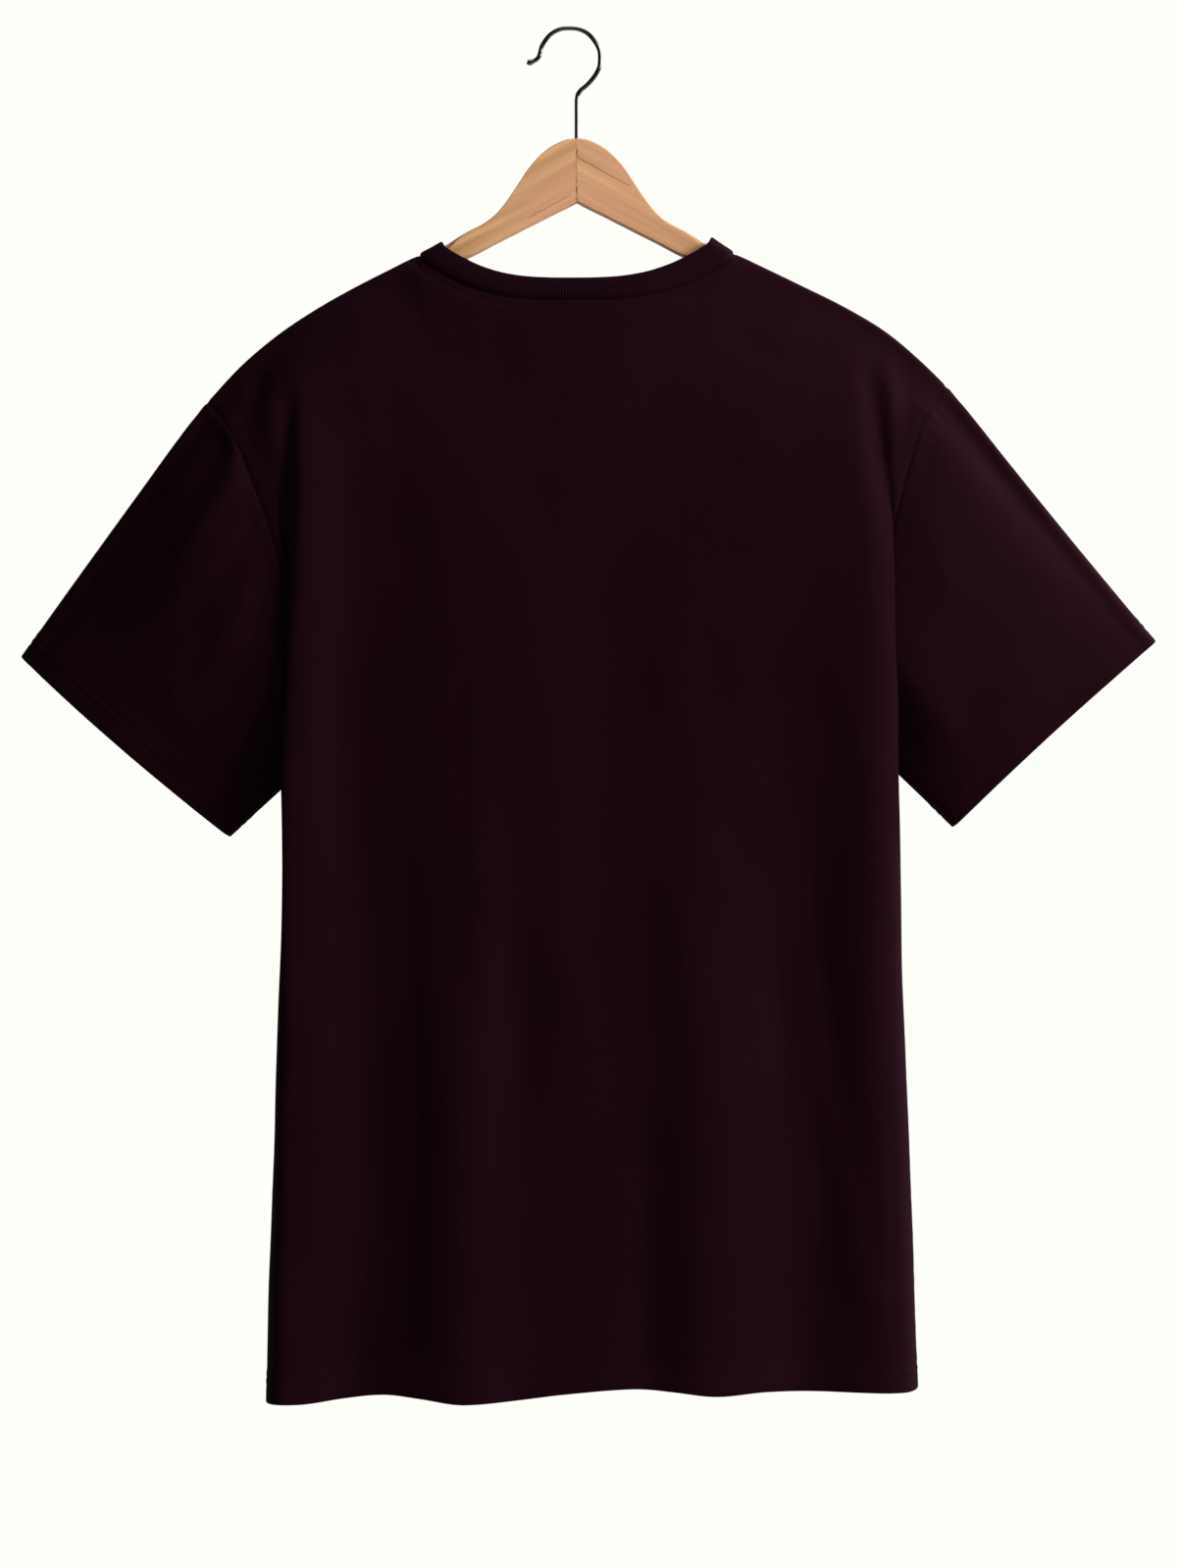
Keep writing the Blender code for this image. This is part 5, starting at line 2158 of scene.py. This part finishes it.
    def make_hook(self, finish: bpy.types.Material) -> None:
        """Bend the wire hook.

        Args:
            finish: The paint.
        """
        rows = np.arange(len(self.hook["x"]))
        bend = len(rows) - 2
        places = np.concatenate([np.linspace(0, bend, 8 * bend + 1), bend + np.array([0.2, 0.5, 1])])
        xs, zs = (smooth(places, rows, self.hook[name]) for name in "xz")
        line = np.stack([xs, 0 * xs, zs], axis=-1)
        along = unit(np.gradient(line, axis=0))
        square = np.stack([along[:, 2], 0 * xs, -along[:, 0]], axis=-1)
        grown = np.exp(-((places / self.bead_reach) ** 4))
        radius = self.wire + (self.bead - self.wire) * grown
        radius[0] *= 0.75
        turn = 2 * math.pi * np.arange(self.wire_sides)[:, None] / self.wire_sides
        ring = square[:, None] * np.cos(turn) + np.array([0, 1, 0]) * np.sin(turn)
        points = line[:, None] + ring * radius[:, None, None]
        nose = line[0] - along[0] * self.bead * 0.55 + ring[0] * self.bead * 0.3
        points = np.concatenate([nose[None], points])
        faces, caps = tube_faces(*points.shape[:2])
        flat = points.reshape(-1, 3) - [HANGER_X, 0, 0]
        turned = Cloth.signed_volume(flat, faces) < 0
        made = write_mesh("hook_wire", flat, faces, caps, None, turned, 60)
        made.data.materials.append(finish)
        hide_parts("hanger_hook")

    def make(self, groups: Groups) -> None:
        """Build and dress the whole hanger.

        Args:
            groups: The shared node groups.
        """
        left = WoodFinish("wood_left", ((-0.0925, 0.0, 0.055, 0.088, 0.0003),))
        right = WoodFinish("wood_right", ((-0.0728, 0.0, 0.038, 0.081, 0.0004),))
        self.make_half(Side.LEFT, left.make(groups))
        self.make_half(Side.RIGHT, right.make(groups))
        self.make_joint(GlueFinish().make())
        self.make_hook(WireFinish().make())


@dataclass
class Studio:
    """A pale floor, soft lights and the camera."""

    target: tuple[float, float, float] = (-0.0125, 0.0, -0.4918)
    distance: float = 3.0
    view_height: float = 1.0234
    floor_z: float = -1.75
    floor_radius: float = 2.7
    key_power: float = 140.0
    top_power: float = 60.0
    side_power: float = 18.0
    sky: float = 0.03
    pale: Colour = (1.0, 1.0, 0.955, 1)
    light_distance: float = 2.6
    sensor: float = 36.0
    floor_sides: int = 96

    def add_camera(self) -> None:
        """Place the camera, level with the shirt's middle and facing its back."""
        data = bpy.data.cameras.new("camera")
        data.sensor_fit = "VERTICAL"
        data.sensor_height = self.sensor
        data.lens = self.sensor * self.distance / self.view_height
        made = bpy.data.objects.new("camera", data)
        x, y, z = self.target
        made.location = (x, y + self.distance, z)
        made.rotation_euler = (math.pi / 2, 0, math.pi)
        bpy.context.scene.collection.objects.link(made)
        bpy.context.scene.camera = made

    def add_light(
        self,
        name: str,
        toward: tuple[float, float, float],
        size: tuple[float, float],
        power: float,
        colour: tuple[float, float, float],
    ) -> None:
        """Hang one soft light that faces the shirt.

        Args:
            name: The light's name.
            toward: The direction to it from the shirt.
            size: Its width and height in metres.
            power: Its power in watts.
            colour: Its colour.
        """
        data = bpy.data.lights.new(name, "AREA")
        data.shape, data.size, data.size_y = "RECTANGLE", *size
        data.energy, data.color = power, colour
        made = bpy.data.objects.new(name, data)
        back = unit(np.array(toward, float))
        made.location = np.array(self.target) + back * self.light_distance
        right = unit(np.cross([0, 0, 1], back))
        turned = np.stack([right, np.cross(back, right), back], axis=1)
        made.rotation_euler = Matrix(turned.tolist()).to_euler()
        bpy.context.scene.collection.objects.link(made)

    def add_world(self) -> None:
        """Light the air: plain white behind the object, dimmer on it."""
        world = bpy.data.worlds.new("air")
        world.use_nodes = True
        bpy.context.scene.world = world
        n = Nodes(world.node_tree)
        world.node_tree.nodes.clear()
        seen, lit = n.add("ShaderNodeBackground"), n.add("ShaderNodeBackground")
        n.fill(seen, {"Color": self.pale, "Strength": 1.0})
        n.fill(lit, {"Color": (1, 1, 1, 1), "Strength": self.sky})
        path = n.add("ShaderNodeLightPath")
        mix = n.add("ShaderNodeMixShader")
        n.put(mix.inputs[0], path.outputs["Is Camera Ray"])
        n.put(mix.inputs[1], lit.outputs[0])
        n.put(mix.inputs[2], seen.outputs[0])
        n.put(n.add("ShaderNodeOutputWorld").inputs["Surface"], mix.outputs[0])

    def add_floor(self) -> None:
        """Lay the pale floor."""
        turn = 2 * math.pi * np.arange(self.floor_sides) / self.floor_sides
        points = [
            (self.floor_radius * math.cos(a), self.floor_radius * math.sin(a), self.floor_z)
            for a in turn
        ]
        mesh = bpy.data.meshes.new("floor")
        mesh.from_pydata(points, [], [list(range(len(points)))])
        made, n, shader = new_material("floor")
        place = n.add("ShaderNodeTexCoord").outputs["Object"]
        tone = n.noise(place, 3.0)
        n.put(shader.inputs["Base Color"], n.mix(tone, (0.8, 0.8, 0.77, 1), (0.84, 0.84, 0.81, 1)))
        n.put(shader.inputs["Roughness"], n.math("MULTIPLY_ADD", tone, 0.1, 0.6))
        mesh.materials.append(made)
        floor = bpy.data.objects.new("floor", mesh)
        bpy.context.scene.collection.objects.link(floor)

    def make(self) -> None:
        """Set the studio up."""
        self.add_camera()
        self.add_world()
        self.add_floor()
        cool, warm = (1.0, 0.97, 0.99), (1.0, 0.98, 0.95)
        self.add_light("key", (-0.865, 0.42, 0.42), (1.2, 1.8), self.key_power, cool)
        self.add_light("key_front", (-0.865, -0.42, 0.42), (1.2, 1.8), self.key_power * 0.85, cool)
        self.add_light("top", (-0.08, 0.06, 0.97), (2.0, 1.0), self.top_power, (0.82, 0.86, 1.0))
        self.add_light("side", (1.0, -0.9, 0.2), (1.4, 1.8), self.side_power, warm)
        bpy.context.scene.view_settings.view_transform = "Standard"


def main() -> None:
    """Build every piece."""
    logging.basicConfig(level=logging.INFO, format="%(message)s")
    groups = Groups()
    Studio().make()
    shirt = TShirt()
    shirt.make(groups)
    Hanger(shirt.form).make(groups)
    bpy.context.view_layer.update()


if __name__ == "__main__":
    main()
